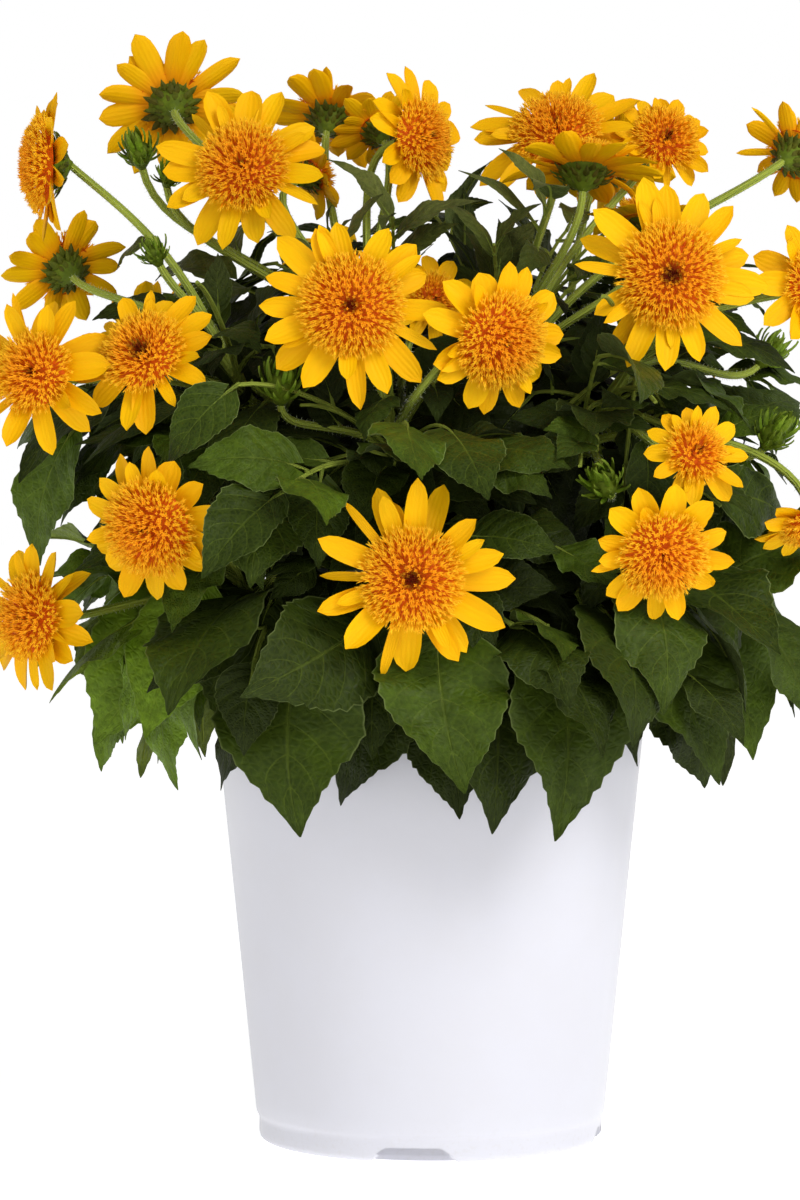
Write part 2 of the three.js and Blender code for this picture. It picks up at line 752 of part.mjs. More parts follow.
// Pot, soil, main stem and boughs
const pot = makePot();
const soil = makeSoil();
const stem = makeStem(0);
addNode('pot', pot, '#e9e9ef', 0.4);
addNode('potting_soil', soil, '#3a2a20', 0.95);
addNode('main_stem', stem, '#7f9440', 0.7);
for (const solid of [pot, soil, stem]) {
  grow(null, solid);
}
const stemBed = makeStem(SEAT);
for (const mass of masses) {
  if (mass.name !== STEM_BORNE) {
    const bough = limb(tapering(boughCurve(mass), BOUGH_RADIUS, BOUGH_TIP_RADIUS, 2), 6).subtract(stemBed);
    addNode(`bough_${mass.name}`, bough, '#86a045', 0.7);
    grow(null, bough);
  }
  grow(mass, limb(tapering(mass.stem, BOUGH_TIP_RADIUS, STALK_RADIUS, 3), 4));
}

// Blooms
blooms.forEach((bloom, order) => {
  const solid = makeBloom(bloom, order);
  addNode(`bloom_${bloom.name}`, solid, '#f5b301', 0.6);
  grow(null, solid);
});

// Stalks with green cups or buds at their ends, then the hanging leaves and the shoots
const branches = [];
const leaves = [];
for (const { mass, end, axis, rings, leaf } of ends) {
  const start = branchPlace(mass);
  const isOwn = (other) => other.mass === mass;
  if (axis) {
    const curve = stalkCurve(mass, start, end, axis);
    const stations = widened(tapering(curve, STALK_RADIUS, STALK_TIP_RADIUS, 4), axis, rings);
    branches.push({ mass, curve, piece: grow(mass, limb(stations, 4)), isStalk: true });
  } else if (leaf) {
    const twig = limb(tapering(shootCurve(start, end), SHOOT_RADIUS, SHOOT_TIP_RADIUS, 3), 3);
    leaf.base.addScaledVector(leaf.along, -2);
    if (!touches(twig, isOwn) && !touches(leafSolid(leaf, 0.5), isOwn)) {
      grow(mass, twig);
      grow(mass, leafSolid(leaf, 0));
      leaves.push(leaf);
    }
  } else {
    const curve = shootCurve(start, end);
    const solid = limb(tapering(curve, SHOOT_RADIUS, SHOOT_TIP_RADIUS, 3), 3);
    if (!touches(solid, isOwn)) {
      branches.push({ mass, curve, piece: grow(mass, solid) });
    }
  }
}

// Leaves grow from the tips of the shoots and from high on the stalks inwards
const places = [];
branches.forEach((branch, row) => {
  const length = branch.curve.getLength();
  const spacing = LEAF_SPACING * (branch.isStalk ? 1.4 : 1);
  const top = branch.isStalk ? 0.64 : 1;
  const count = Math.floor((0.72 * length) / spacing);
  if (!branch.isStalk) {
    places.push({ branch, share: 0.99, order: row * 7, ahead: 1, scale: 1, rank: 0 });
  }
  for (let i = 1; i <= count; i += 1) {
    const share = top - (i * spacing) / length;
    if (share > 0.12) {
      const scale = branch.isStalk ? 0.82 : 1;
      places.push({ branch, share, order: row * 7 + i, ahead: 0.45, scale, rank: i + (branch.isStalk ? 0.5 : 0) });
    }
  }
});
places.sort((a, b) => a.rank - b.rank);

function leafFits(leaf) {
  const outline = leafOutline(leaf);
  const middle = midrib(leaf, 0.5);
  return outline.slice(1).every((point) => (
    Math.hypot(point.x, point.y) < crownReach(point.z)
    && inSpace(leaf.mass, point, SPACE_OVERRUN)
    && clearOfBlooms(point)))
    && clearOfBlooms(middle)
    && leaves.every((other) => midrib(other, 0.5).distanceTo(middle) > 0.12 * (leaf.length + other.length));
}

for (const place of places) {
  for (let attempt = 0; attempt < TRIES; attempt += 1) {
    const leaf = leafAt(place, attempt);
    if (leafFits(leaf) && !touches(leafSolid(leaf, 0.5), (other) => other === leaf.carrier)) {
      grow(leaf.mass, leafSolid(leaf, 0));
      leaves.push(leaf);
      break;
    }
  }
}

for (const mass of masses) {
  const pieces = grown.filter((piece) => piece.mass === mass).map((piece) => piece.solid);
  addNode(`foliage_${mass.name}`, joined(pieces), '#33551f', 0.75);
}

export default group;
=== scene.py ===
"""A double-flowered sunflower plant in a plain white nursery pot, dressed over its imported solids."""
import math
from functools import cache

import bpy
import numpy as np
from bpy.props import FloatProperty, FloatVectorProperty, IntProperty, PointerProperty
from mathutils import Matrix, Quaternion, Vector, noise
from mathutils.bvhtree import BVHTree


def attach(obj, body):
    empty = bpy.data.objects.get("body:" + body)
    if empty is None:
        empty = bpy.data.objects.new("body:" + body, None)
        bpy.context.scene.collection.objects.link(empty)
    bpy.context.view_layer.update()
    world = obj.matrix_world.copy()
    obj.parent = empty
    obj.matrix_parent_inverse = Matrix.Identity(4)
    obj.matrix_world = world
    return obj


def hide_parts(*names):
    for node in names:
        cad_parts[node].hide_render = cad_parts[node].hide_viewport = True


bl_info = {
    "name": "Potted sunflower plant",
    "version": (1, 0, 0),
    "blender": (4, 5, 0),
    "location": "View3D > Sidebar > Sunflower",
    "description": "Builds a double-flowered sunflower plant in a plain white pot",
    "category": "Add Mesh",
}

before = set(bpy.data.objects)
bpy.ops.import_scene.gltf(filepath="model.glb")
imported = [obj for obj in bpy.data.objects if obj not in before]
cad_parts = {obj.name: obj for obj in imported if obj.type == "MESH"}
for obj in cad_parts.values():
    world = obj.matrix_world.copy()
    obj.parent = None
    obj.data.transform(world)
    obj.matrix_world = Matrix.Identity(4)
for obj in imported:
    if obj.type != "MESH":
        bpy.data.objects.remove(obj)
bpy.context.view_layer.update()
MM = 0.001
UP = Vector((0.0, 0.0, 1.0))

# The sizes of the pot and the plant are in millimetres, and the same as those of the solids.
# The pot, its notched foot and the potting mix
POT_HEIGHT = 262
POT_WALL = 1.6
POT_FLOOR = 3
POT_SHOULDER_HEIGHT = 24
POT_SHOULDER_RADIUS = 98.5
POT_TOP_RADIUS = 122.5
FOOT_HEIGHT = 13.5
FOOT_RADIUS = 96
FOOT_EDGE = 5
FOOT_INNER_RADIUS = 81
LIP_HEIGHT = 11
LIP_OUT = 2.5
NOTCH_COUNT = 4
NOTCH_TURN = -6
NOTCH_BOTTOM = 48
NOTCH_TOP = 31
NOTCH_HEIGHT = 7.7
NOTCH_BACK_RADIUS = 86
NOTCH_FADE = 14
NOTCH_FOLLOW = 0.35
SOIL_TOP = 235
CRUMB_SIZES = (1.6, 4.5)

# The main stem: height of each ring of its axis, how far it leans there (x, y), and its radius
SEAT = 0.3
STEM_RINGS = [
    (SOIL_TOP + SEAT, 2, 4, 14),
    (242, 2, 4, 10.2),
    (252, 0, 4, 8.6),
    (300, -6, 3, 7.6),
    (350, -4, 6, 6.3),
    (398, -14, 8, 5),
]

# The masses of foliage: name, turn of the heart from the front, its distance from the axis,
# its height, and the height where its bough leaves the main stem
MASSES = [
    ("low_front", 0, 96, 292, 254),
    ("low_front_right", 60, 98, 292, 268),
    ("low_back_right", 120, 98, 292, 282),
    ("low_back", 180, 98, 292, 254),
    ("low_back_left", 240, 98, 292, 268),
    ("low_front_left", 300, 98, 292, 282),
    ("mid_front", -14, 84, 378, 302),
    ("mid_right", 66, 92, 384, 316),
    ("mid_back_right", 140, 92, 384, 330),
    ("mid_back_left", 214, 92, 384, 302),
    ("mid_left", 290, 92, 384, 316),
    ("top_right", 92, 42, 420, 356),
    ("top_left", 280, 42, 420, 398),
]
STEM_BORNE = "top_left"
BOUGH_RADIUS = 4.6
BOUGH_TIP_RADIUS = 3.4
BOUGH_SHORT = 20
BRANCH_SPACING = 5.5
SPACE_OVERRUN = 18

# The stalks, shoots and leaves
STALK_RADIUS = 2.4
STALK_TIP_RADIUS = 2.1
SHOOT_RADIUS = 1.9
SHOOT_TIP_RADIUS = 1.2
OUTER_SHOOTS = {"count": 54, "low": 250, "high": 480, "reach": 0.72}
INNER_SHOOTS = {"count": 24, "low": 280, "high": 450, "reach": 0.5}
LEAF_LOW = {"height": 300, "length": 122, "width": 76, "droop": 58}
LEAF_HIGH = {"height": 490, "length": 70, "width": 30, "droop": 68}
GOLDEN_ANGLE = 137.5
TRY_TURN = 47
TRY_SHRINK = 0.07
SEED = 7

# The crown: its widest level and radius, and how far it goes up and down from there
CROWN_LEVEL = 360
CROWN_RADIUS = 236
CROWN_UP = 225
CROWN_DOWN = 196

# The blooms: name, centre of the head's back (x, y, z), reach of the rays, radius of the disc,
# where the head faces (turn, lift), and how dark its middle is
BLOOMS = [
    ("low_centre", -11, -176, 317, 47, 26, 0, 2, 0.6),
    ("low_left", -146, -146, 344, 38, 25, -24, -12, 0.0),
    ("far_low_left", -214, -84, 294, 41, 22, -42, 4, 0.1),
    ("low_right", 119, -158, 331, 36, 23, 12, -22, 0.0),
    ("small_right", 138, -134, 382, 27, 15, 14, 18, 0.5),
    ("edge_low_right", 205, -84, 346, 29, 16, 20, -58, 0.2),
    ("left", -211, -102, 425, 42, 21, -22, 8, 0.2),
    ("inner_left", -152, -114, 434, 39, 22, -22, 24, 0.9),
    ("centre", -43, -134, 459, 47, 27, 0, 6, 0.35),
    ("inner_right", 34, -126, 443, 39, 25, 28, -14, 0.0),
    ("behind_centre", 0, -66, 466, 25, 13, 24, 12, 0.4),
    ("right", 127, -98, 477, 47, 28, 4, 2, 0.7),
    ("edge_right", 208, -58, 474, 35, 18, 24, 8, 0.2),
    ("upper_left", -103, -24, 540, 45, 25, -8, 16, 0.1),
    ("side_left", -213, 12, 545, 38, 26, -76, 0, 0.0),
    ("far_left", -208, 46, 488, 34, 19, -150, 26, 0.2),
    ("top_far_left", -148, 66, 583, 41, 22, -170, 24, 0.3),
    ("top_back", -58, 72, 576, 34, 18, 172, 46, 0.2),
    ("small_top", -29, 34, 566, 25, 13, -160, 38, 0.2),
    ("top_centre", -8, -4, 558, 37, 22, 52, 4, 0.2),
    ("small_behind_left", -66, 26, 540, 23, 11, 122, 20, 0.3),
    ("top_right", 72, 42, 564, 46, 25, -8, 38, 0.2),
    ("flat_right", 84, -32, 538, 40, 23, 172, 72, 0.4),
    ("small_top_right", 133, 46, 561, 27, 18, 12, 20, 0.6),
    ("flat_behind_right", 121, 4, 513, 33, 17, -178, 78, 0.2),
    ("edge_top_right", 203, 4, 550, 31, 17, 142, 22, 0.2),
    ("back_high", 104, 116, 556, 38, 22, 152, 26, 0.5),
    ("back_right", 148, 118, 470, 42, 24, 128, 12, 0.1),
    ("back_left", -162, 132, 446, 41, 24, -142, 10, 0.6),
    ("back_centre", -46, 158, 476, 43, 25, -172, 12, 0.3),
    ("back_low", 24, 186, 352, 40, 23, 170, -4, 0.0),
]
CUP_DEPTH = 11
BLOOM_FRONT_CLEAR = 55
BLOOM_EDGE_CLEAR = 20
SHOOT_COVER = 0.75

# The buds: centre (x, y, z), radius, and where they face (turn, lift)
BUDS = [
    (-164, 24, 552, 8, -20, 62),
    (-146, 2, 538, 6, 30, 58),
    (-80, -112, 418, 9, 10, 70),
    (91, -128, 366, 8, -30, 40),
    (186, -60, 392, 8, 60, 50),
    (-152, -36, 492, 6, -60, 60),
    (192, 44, 440, 8, 100, 55),
    (70, 158, 430, 8, 160, 50),
]

# The leaves that hang over the rim: turn from the front, height of the tip, length with its stalk
HANGING = [
    (-72, 211, 116),
    (-55, 228, 100),
    (-39, 222, 100),
    (-27, 183, 118),
    (-12, 222, 92),
    (1, 206, 98),
    (13, 184, 114),
    (25, 181, 118),
    (37, 216, 98),
    (50, 203, 114),
    (62, 226, 104),
    (77, 214, 110),
]
HANGING_BACK_COUNT = 9
HANGING_BACK_FROM = 95
HANGING_BACK_STEP = 21
HANGING_RADIUS = 129.5
HANGING_STAGGER = 15
HANGING_SLOPE = 55
HANGING_DROOP = 30

# The stalks that bow further than in the solids: how far their middles go (x, y, z)
STALK_BOWS = {"inner_right": (-6, -34, -10), "behind_centre": (-2, -44, -20)}
BOW_SHAPE = 1.2

# What grows on beyond the solids: more shoots, those at the edge by turn from the front and height
FINE_SHOOTS = {"count": 78, "low": 262, "high": 450, "reach": 0.62}
FILL_SHOOTS = {"count": 90, "low": 280, "high": 450, "reach": 0.34}
TOP_SHOOTS = {"count": 18, "low": 470, "high": 522, "reach": 0.52}
EDGE_SHOOTS = [(105, 425), (275, 396), (138, 382), (190, 403), (242, 431), (158, 437)]
EDGE_REACH = 0.86
FINE_SHARE = 0.8

# The leaves stand closer together, turned to the light, with smaller ones on the stalks
HIGH_LEVELS = (430, 490)
HIGH_SLIMNESS = 0.74
LIGHT_TURN = 12
LIGHT_LIFT = 25
LIGHT_PULL = 0.9
HANGING_PULL = 1.7
LEAF_SIZES = (0.78, 1.1)
LEAF_DROOPS = (0.6, 1.2)
LEAF_YAW = 26
LEAF_ROLL = 24
LEAF_OUT = 0.45
LEAFY_SHARE = 0.8
LEAF_AHEAD = 0.45
STALK_LEAF_GAP = 1.4
STALK_LEAF_FROM = 0.66
STALK_LEAF_SIZE = 0.82
LOWEST_LEAF = 0.08

# No leaf hides a bloom, or a stalk from where it is shown
LEAF_COVER = 0.9
STALK_CLEAR_FRONT = 80
STALK_CLEAR_SIDE = 5
STALK_CLEAR_BACK = 60
STALK_CLEAR_FROM = 0.4
SHOWN_CLEAR_FROM = 0.12
PROXY_STEP = 4
PROXY_WIDTH = 0.86

# A leaf's blade; its outline is (share of its length, share of its half width)
LEAF_ROWS = 25
LEAF_COLUMNS = 5
LEAF_THICKNESS = 0.35
PETIOLE_SHARE = 0.2
LEAF_OUTLINE = [
    (0.0, 0.16), (0.04, 0.58), (0.11, 0.88), (0.22, 1.0), (0.36, 0.98), (0.5, 0.85),
    (0.64, 0.63), (0.78, 0.37), (0.9, 0.15), (1.0, 0.012),
]
LEAF_SWEEP = 0.15
LEAF_TWIST = 38
LEAF_FOLD = (-0.14, 0.42)
LEAF_WAVE = (0.06, 0.2)
LEAF_RIPPLES = (1.3, 3.0)
LEAF_HEART = 0.13
TOOTH_DEPTH = 0.042
TOOTH_LEAN = 0.01
MIDRIB_DROP = 0.55

# A ray's blade, and the two whorls of rays; widths and reaches are shares
RAY_ROWS = 10
RAY_COLUMNS = 5
RAY_THICKNESS = 0.3
RAY_OUTLINE = [
    (0.0, 0.7), (0.15, 0.82), (0.35, 0.96), (0.55, 1.0),
    (0.75, 0.94), (0.88, 0.68), (0.96, 0.34), (1.0, 0.03),
]
RAY_SWERVE = 9
RAY_CURL = (-34, 12)
RAY_TWIST = 24
RAY_CUPPED = (0.1, 0.42)
RAY_GROOVE = 0.1
OUTER_RAYS = {
    "first": 0, "step": 1, "offset": 0.0, "swing": 0.2, "start": 0.52,
    "reach": (0.97, 1.17), "width": (0.8, 1.15), "lift": (-6, 14), "slim_share": 0.1,
}
INNER_RAYS = {
    "first": 30, "step": 4, "offset": 0.5, "swing": 1.2, "start": 0.6,
    "reach": (0.8, 1.0), "width": (0.45, 0.8), "lift": (12, 30), "slim_share": 0.0,
}
SLIM_RAY = 0.45

# The bracts of a cup (share of the disc, share of the depth, tilt, size) and of a bud (turn from
# its foot, tilt, size)
CUP_TIERS = [(0.3, -0.82, 60, 0.8), (0.42, -0.6, 44, 0.9), (0.5, -0.35, 30, 0.95)]
BUD_TIERS = [(50, 34, 0.9), (80, 54, 1.0), (112, 76, 1.0), (140, 98, 0.8)]
CUP_BRACT = 8.5
BUD_BRACT = 9.2

# Where leaves are fresher: low and left of these, right of this, and up these heights; where the
# painted shade on the leaves near the rim fades out; and the colour of the painted shade deep inside the
# crown
FRESH_LOW_LEFT = (325, -95)
FRESH_RIGHT = 170
FRESH_TOP = (440, 540)
RIM_SHADE = (285, 345)
DEEP_SHADE = (0.007, 0.0085, 0.0015)

# How finely curves are worked out, and which edges stay sharp
CURVE_STEPS = 60
SHARP_ANGLE = 62

# The stage: the floor in millimetres, and the lamps in metres
FLOOR_RADIUS = 20000
FLOOR_DROP = 0.2
KEY_LAMP = {"place": (1.3, -1.8, 1.9), "size": 1.4}
FILL_LAMP = {"place": (-1.9, -1.4, 1.2), "size": 1.8}
LAMP_TARGET = (0, 0, 0.3)


def hue(code):
    """A colour as Blender holds it, from its code of six figures."""
    parts = [int(code[i:i + 2], 16) / 255 for i in (0, 2, 4)]
    return tuple(((part + 0.055) / 1.055) ** 2.4 if part > 0.04 else part / 12.92 for part in parts)


def paint(colour):
    """A colour with its alpha, for a shader socket."""
    return (*colour, 1.0)


def colour_property(name, code, description):
    """A colour that the panel shows, with its default from a code."""
    return FloatVectorProperty(
        name=name, description=description, subtype="COLOR", size=3, min=0.0, max=1.0, default=hue(code))


def length_property(name, default, low, high, description):
    """A length in metres that the panel shows, with its limits."""
    return FloatProperty(
        name=name, description=description, default=default, min=low, max=high, unit="LENGTH")


def strength_property(name, default, high, description):
    """The strength of a light, from 0 up."""
    return FloatProperty(name=name, description=description, default=default, min=0.0, max=high)


# Settings that a user would change
class PotSettings(bpy.types.PropertyGroup):
    """The pot and what it is filled with."""

    rounding: length_property("Rounding", 0.0016, 0.0002, 0.003, "How far the foot's edges are rounded")
    colour: colour_property("Plastic", "d1d1d9", "Colour of the pot's plastic")
    dust: colour_property("Dust", "b9b2a4", "Colour of the dust that lies on the pot")
    soil: colour_property("Soil", "2a1d14", "Colour of the moist potting mix")
    chips: colour_property("Bark chips", "5a3d26", "Colour of the bark chips in the mix")
    crumb_count: IntProperty(
        name="Crumbs", description="Crumbs and chips that lie on the mix", default=1500, min=0, max=4000)


class LeafSettings(bpy.types.PropertyGroup):
    """The leaves."""

    spacing: length_property("Spacing", 0.0125, 0.008, 0.04, "Distance between leaf joints along a twig")
    tries: IntProperty(
        name="Tries", description="Ways in which a leaf may take its place", default=10, min=1, max=16)
    vein_count: FloatProperty(
        name="Veins", description="Side veins on each half of a leaf", default=5.5, min=3.0, max=14.0)
    dark: colour_property("Dark green", "2a380a", "Upper side of the older leaves")
    pale: colour_property("Fresh green", "72921e", "Upper side of the younger leaves")
    under: colour_property("Underside", "586440", "Lower side of the leaves")
    vein: colour_property("Vein", "7d8f2e", "Veins of a leaf")
    rim: colour_property("Rim", "8b9a58", "Pale rim of a leaf")
    # The greyer green of the high leaves is a painted sheen
    high: colour_property("High leaves", "8c8448", "Greyer green of the leaves near the top")


class StemSettings(bpy.types.PropertyGroup):
    """The main stem, boughs, stalks and shoots."""

    colour: colour_property("Green", "a9b747", "Green of the stalks")
    shade: colour_property("Shade", "66772a", "Darker green of the furrows and older stems")
    hair_green: colour_property("Green hairs", "a9b985", "The greener hairs of the stalks")
    hair_pale: colour_property("Pale hairs", "e3e8cc", "The paler hairs of the stalks")
    hair_length: length_property("Hair length", 0.0016, 0.0003, 0.004, "Length of the hairs")
    hair_spacing: length_property("Hair spacing", 0.00035, 0.0001, 0.005, "Length of stalk for each hair")


class BloomSettings(bpy.types.PropertyGroup):
    """The blooms and buds."""

    floret_spacing: length_property("Floret spacing", 0.00182, 0.0015, 0.006, "Distance between florets")
    floret_length: length_property("Floret length", 0.0088, 0.004, 0.02, "Length of a floret")
    ray_width: length_property("Ray width", 0.0135, 0.006, 0.03, "Width of a ray")
    ray: colour_property("Ray", "eeba00", "Yellow of the rays")
    ray_base: colour_property("Ray base", "f29a00", "Orange at the foot of the rays")
    tip: colour_property("Floret tip", "ffb824", "Tips of the florets")
    edge: colour_property("Outer florets", "ffce28", "Tips of the outermost florets")
    depth: colour_property("Floret foot", "dc660e", "Feet of the florets")
    middle: colour_property("Middle", "641c08", "The unopened middle of a disc")
    cup: colour_property("Cup", "4e4610", "Green of the cup under a bloom")


class StageSettings(bpy.types.PropertyGroup):
    """The floor, the light and the camera."""

    floor: colour_property("Floor", "fbfbfb", "Colour of the floor")
    clouds: colour_property("Floor clouds", "f7f7f6", "Colour of the floor's faint clouds")
    key: strength_property("Key light", 44.0, 500.0, "Power of the main lamp")
    fill: strength_property("Fill light", 1.0, 500.0, "Power of the fill lamp")
    glow: strength_property("Floor glow", 0.68, 2.0, "Light of the floor's own")
    horizon: strength_property("Horizon", 1.0, 5.0, "Strength of the light near the horizon")
    sky: strength_property("Sky", 0.34, 5.0, "Strength of the light from above")
    eye: FloatVectorProperty(
        name="Eye", description="Where the camera stands", default=(-0.017, -2.3, 0.37), unit="LENGTH")
    target: FloatVectorProperty(
        name="Target", description="What the camera looks at", default=(-0.017, 0.0, 0.301), unit="LENGTH")
    lens: FloatProperty(
        name="Lens", description="Focal length for a sensor 36 mm high", default=123.3, min=20.0, max=300.0)


# Directions, seeded chance and curves
def facing(turn, lift):
    """The direction with this turn from the front and this lift above level, in degrees."""
    turn, lift = math.radians(turn), math.radians(lift)
    return Vector((math.sin(turn) * math.cos(lift), -math.cos(turn) * math.cos(lift), math.sin(lift)))


def place_at(turn, radius, height):
    """The point at this turn, distance from the axis and height."""
    place = facing(turn, 0) * radius
    place.z = height
    return place


def outward(point):
    """The level direction away from the axis."""
    return Vector((point.x, point.y, 0.0)).normalized()


def square_to(vector, axis):
    """The direction nearest to a vector that is square to an axis."""
    return (vector - axis * vector.dot(axis)).normalized()


def crosswise(axis):
    """A direction square to an axis."""
    return square_to(UP if abs(axis.z) < 0.9 else Vector((1, 0, 0)), axis)


def chance(row, column):
    """A seeded chance from 0 to 1, always the same for the same row; each use has its own column."""
    wave = math.sin(SEED + row * 12.9898 + column * 78.233) * 43758.5453
    return wave - math.floor(wave)


def between(low, high, row, column):
    """A seeded value between two others."""
    return low + (high - low) * chance(row, column)


def swing(reach, row, column):
    """A seeded value up to a reach below or above 0."""
    return between(-reach, reach, row, column)


def blend(low, high, share):
    """The value at a share of the way from low to high."""
    return low + (high - low) * share


def smooth(low, high, value):
    """0 below low, 1 above high, and a smooth step between them."""
    share = min(max((value - low) / (high - low), 0.0), 1.0)
    return share * share * (3 - 2 * share)


class Curve:
    """A Bezier curve whose points are found by their share of its length."""

    def __init__(self, *controls):
        shares = np.linspace(0.0, 1.0, CURVE_STEPS + 1)[:, None]
        degree = len(controls) - 1
        self.points = sum(
            math.comb(degree, i) * (1 - shares) ** (degree - i) * shares ** i * np.array(control)
            for i, control in enumerate(controls))
        self.measure()

    def measure(self):
        """Works out the length up to each point."""
        steps = np.linalg.norm(np.diff(self.points, axis=0), axis=1)
        self.marks = np.concatenate([[0.0], np.cumsum(steps)])
        self.length = float(self.marks[-1])

    def point(self, share):
        """The point at a share of the length."""
        mark = share * self.length
        return Vector([float(np.interp(mark, self.marks, self.points[:, axis])) for axis in range(3)])

    def stations(self, *shares):
        """The points at shares of the length: first, last and how many, evenly spaced."""
        return [self.point(share) for share in np.linspace(*shares)]

    def tangent(self, share):
        """The direction at a share of the length."""
        return (self.point(min(share + 0.01, 1.0)) - self.point(max(share - 0.01, 0.0))).normalized()

    def bow(self, aside):
        """Draws the middle aside while the ends stay."""
        share = np.sin(np.linspace(0.0, math.pi, CURVE_STEPS + 1))[:, None] ** BOW_SHAPE
        self.points = self.points + share * np.array(aside)
        self.measure()


# The plant's skeleton, by the same rule as its solids
def stem_point(height):
    """The point of the main stem's axis at a height."""
    levels, leans_x, leans_y, _ = zip(*STEM_RINGS)
    lean_x, lean_y = (float(np.interp(height, levels, leans)) for leans in (leans_x, leans_y))
    return Vector((lean_x, lean_y, height))


class Mass:
    """A mass of foliage round its heart, with the root of its bough."""

    def __init__(self, name, turn, radius, height, root):
        self.name = name
        self.heart = place_at(turn, radius, height)
        self.root = stem_point(root)
        self.branched = 0
        self.branches = 0
        self.stem = None


def nearest_mass(masses, point):
    """The mass whose heart is nearest to a point."""
    return min(masses, key=lambda mass: (mass.heart - point).length)


def in_space(masses, mass, point, overrun):
    """Whether a point lies in a mass's own space, or no further outside it than the overrun."""
    for other in masses:
        if other is not mass:
            across = other.heart - mass.heart
            if (point - mass.heart).dot(across) / across.length - across.length / 2 >= overrun:
                return False
    return True


def crown_reach(height):
    """How far the crown reaches from the axis at a height."""
    upper = height > CROWN_LEVEL
    rise = abs(height - CROWN_LEVEL) / (CROWN_UP if upper else CROWN_DOWN)
    return CROWN_RADIUS * math.sqrt(1 - rise ** (2.4 if upper else 4)) if rise < 1 else 0.0


def settled(masses, mass, point, chord_point):
    """A curve's middle point, moved towards the chord until it lies in the mass's own space."""
    place = point.copy()
    for _ in range(6):
        if in_space(masses, mass, place, 0):
            break
        place = place.lerp(chord_point, 0.35)
    return place


def bough_curve(mass):
    """A bough from the main stem to where it enters its mass."""
    into = (mass.heart - mass.root).normalized()
    tip = mass.heart - into * BOUGH_SHORT
    sag = mass.root.lerp(tip, 0.5) - UP * 0.08 * (tip - mass.root).length
    return Curve(mass.root, sag, tip)


def mass_stem_curve(mass):
    """The stem of a mass, from the tip that bears it through the heart."""
    borne = mass.name == STEM_BORNE
    bough = bough_curve(mass)
    tip = mass.root if borne else bough.point(1.0)
    along = UP if borne else bough.tangent(1.0)
    start = tip + along * SEAT
    lead = ((mass.heart - start).normalized() + UP * 0.7).normalized()
    end = mass.heart + lead * max(mass.branches * BRANCH_SPACING - BOUGH_SHORT, 8)
    return Curve(start, start + along * BOUGH_SHORT * 0.6, end)


def branch_place(mass):
    """The next free place on a mass's stem."""
    mass.branched += 1
    return mass.stem.point(0.08 + 0.84 * mass.branched / (mass.branches + 1))


def stalk_curve(masses, mass, start, end, direction):
    """A stalk to the back of a bloom or bud."""
    reach = (end - start).length
    near = start.lerp(end, 0.3)
    far = start.lerp(end, 0.75)
    rise = near + UP * 0.22 * reach
    back = end - direction * 0.3 * reach
    return Curve(start, settled(masses, mass, rise, near), settled(masses, mass, back, far), end)


def shoot_curve(start, target):
    """A leafy shoot towards the outside of the crown."""
    reach = (target - start).length
    first = start.lerp(target, 0.35) + UP * 0.14 * reach
    second = start.lerp(target, 0.75) + UP * 0.12 * reach
    return Curve(start, first, second, target)


class Head:
    """A centre and an axis, with the points and directions round them."""

    def __init__(self, centre, axis, across):
        self.centre = centre
        self.axis = axis
        self.across = across
        self.side = axis.cross(across)

    def at(self, turn, radius, height):
        """The point at this turn round the head's axis, distance from it and height along it."""
        turn = math.radians(turn)
        level = self.across * math.cos(turn) + self.side * math.sin(turn)
        return self.centre + level * radius + self.axis * height

    def level(self, turn):
        """The direction away from the axis at this turn."""
        return self.at(turn, 1, 0) - self.centre


class Bloom(Head):
    """A flower head with its sizes."""

    def __init__(self, order, row):
        self.order = order
        self.name, x, y, z, self.reach, self.disc, turn, lift, self.dark = row
        axis = facing(turn, lift)
        across = square_to(Vector((0, 1, 0)) if abs(axis.z) > 0.9 else UP, axis)
        super().__init__(Vector((x, y, z)), axis, across)


class Leaf:
    """A leaf: its midrib bends from its direction away from its face, as far as its droop."""

    def __init__(self, base, along, face, length, width, droop):
        self.base = base
        self.along = along
        self.face = face
        self.length = length
        self.width = width
        self.droop = droop
        self.side = along.cross(face).normalized()

    def midrib(self, share):
        """The point of the midrib at a share of its length."""
        bend = math.radians(self.droop)
        ahead = math.sin(bend * share) / bend * self.length
        down = (1 - math.cos(bend * share)) / bend * self.length
        return self.base + self.along * ahead - self.face * down

    def corners(self):
        """The points by which a leaf is tested: both sides, the middle and the tip."""
        points = [self.midrib(1.0), self.midrib(0.85)]
        for share, width in ((0.3, 0.36), (0.5, 0.5), (0.7, 0.34)):
            middle = self.midrib(share)
            half = self.side * width * self.width
            points += [middle, middle + half, middle - half]
        return points


def leaf_size(height, size):
    """Length, width and droop of a leaf by its height in the crown."""
    rise = (height - LEAF_LOW["height"]) / (LEAF_HIGH["height"] - LEAF_LOW["height"])
    share = min(max(rise, 0.0), 1.0)
    length = blend(LEAF_LOW["length"], LEAF_HIGH["length"], share) * size
    width = blend(LEAF_LOW["width"], LEAF_HIGH["width"], share) * size
    return length, width, blend(LEAF_LOW["droop"], LEAF_HIGH["droop"], share)


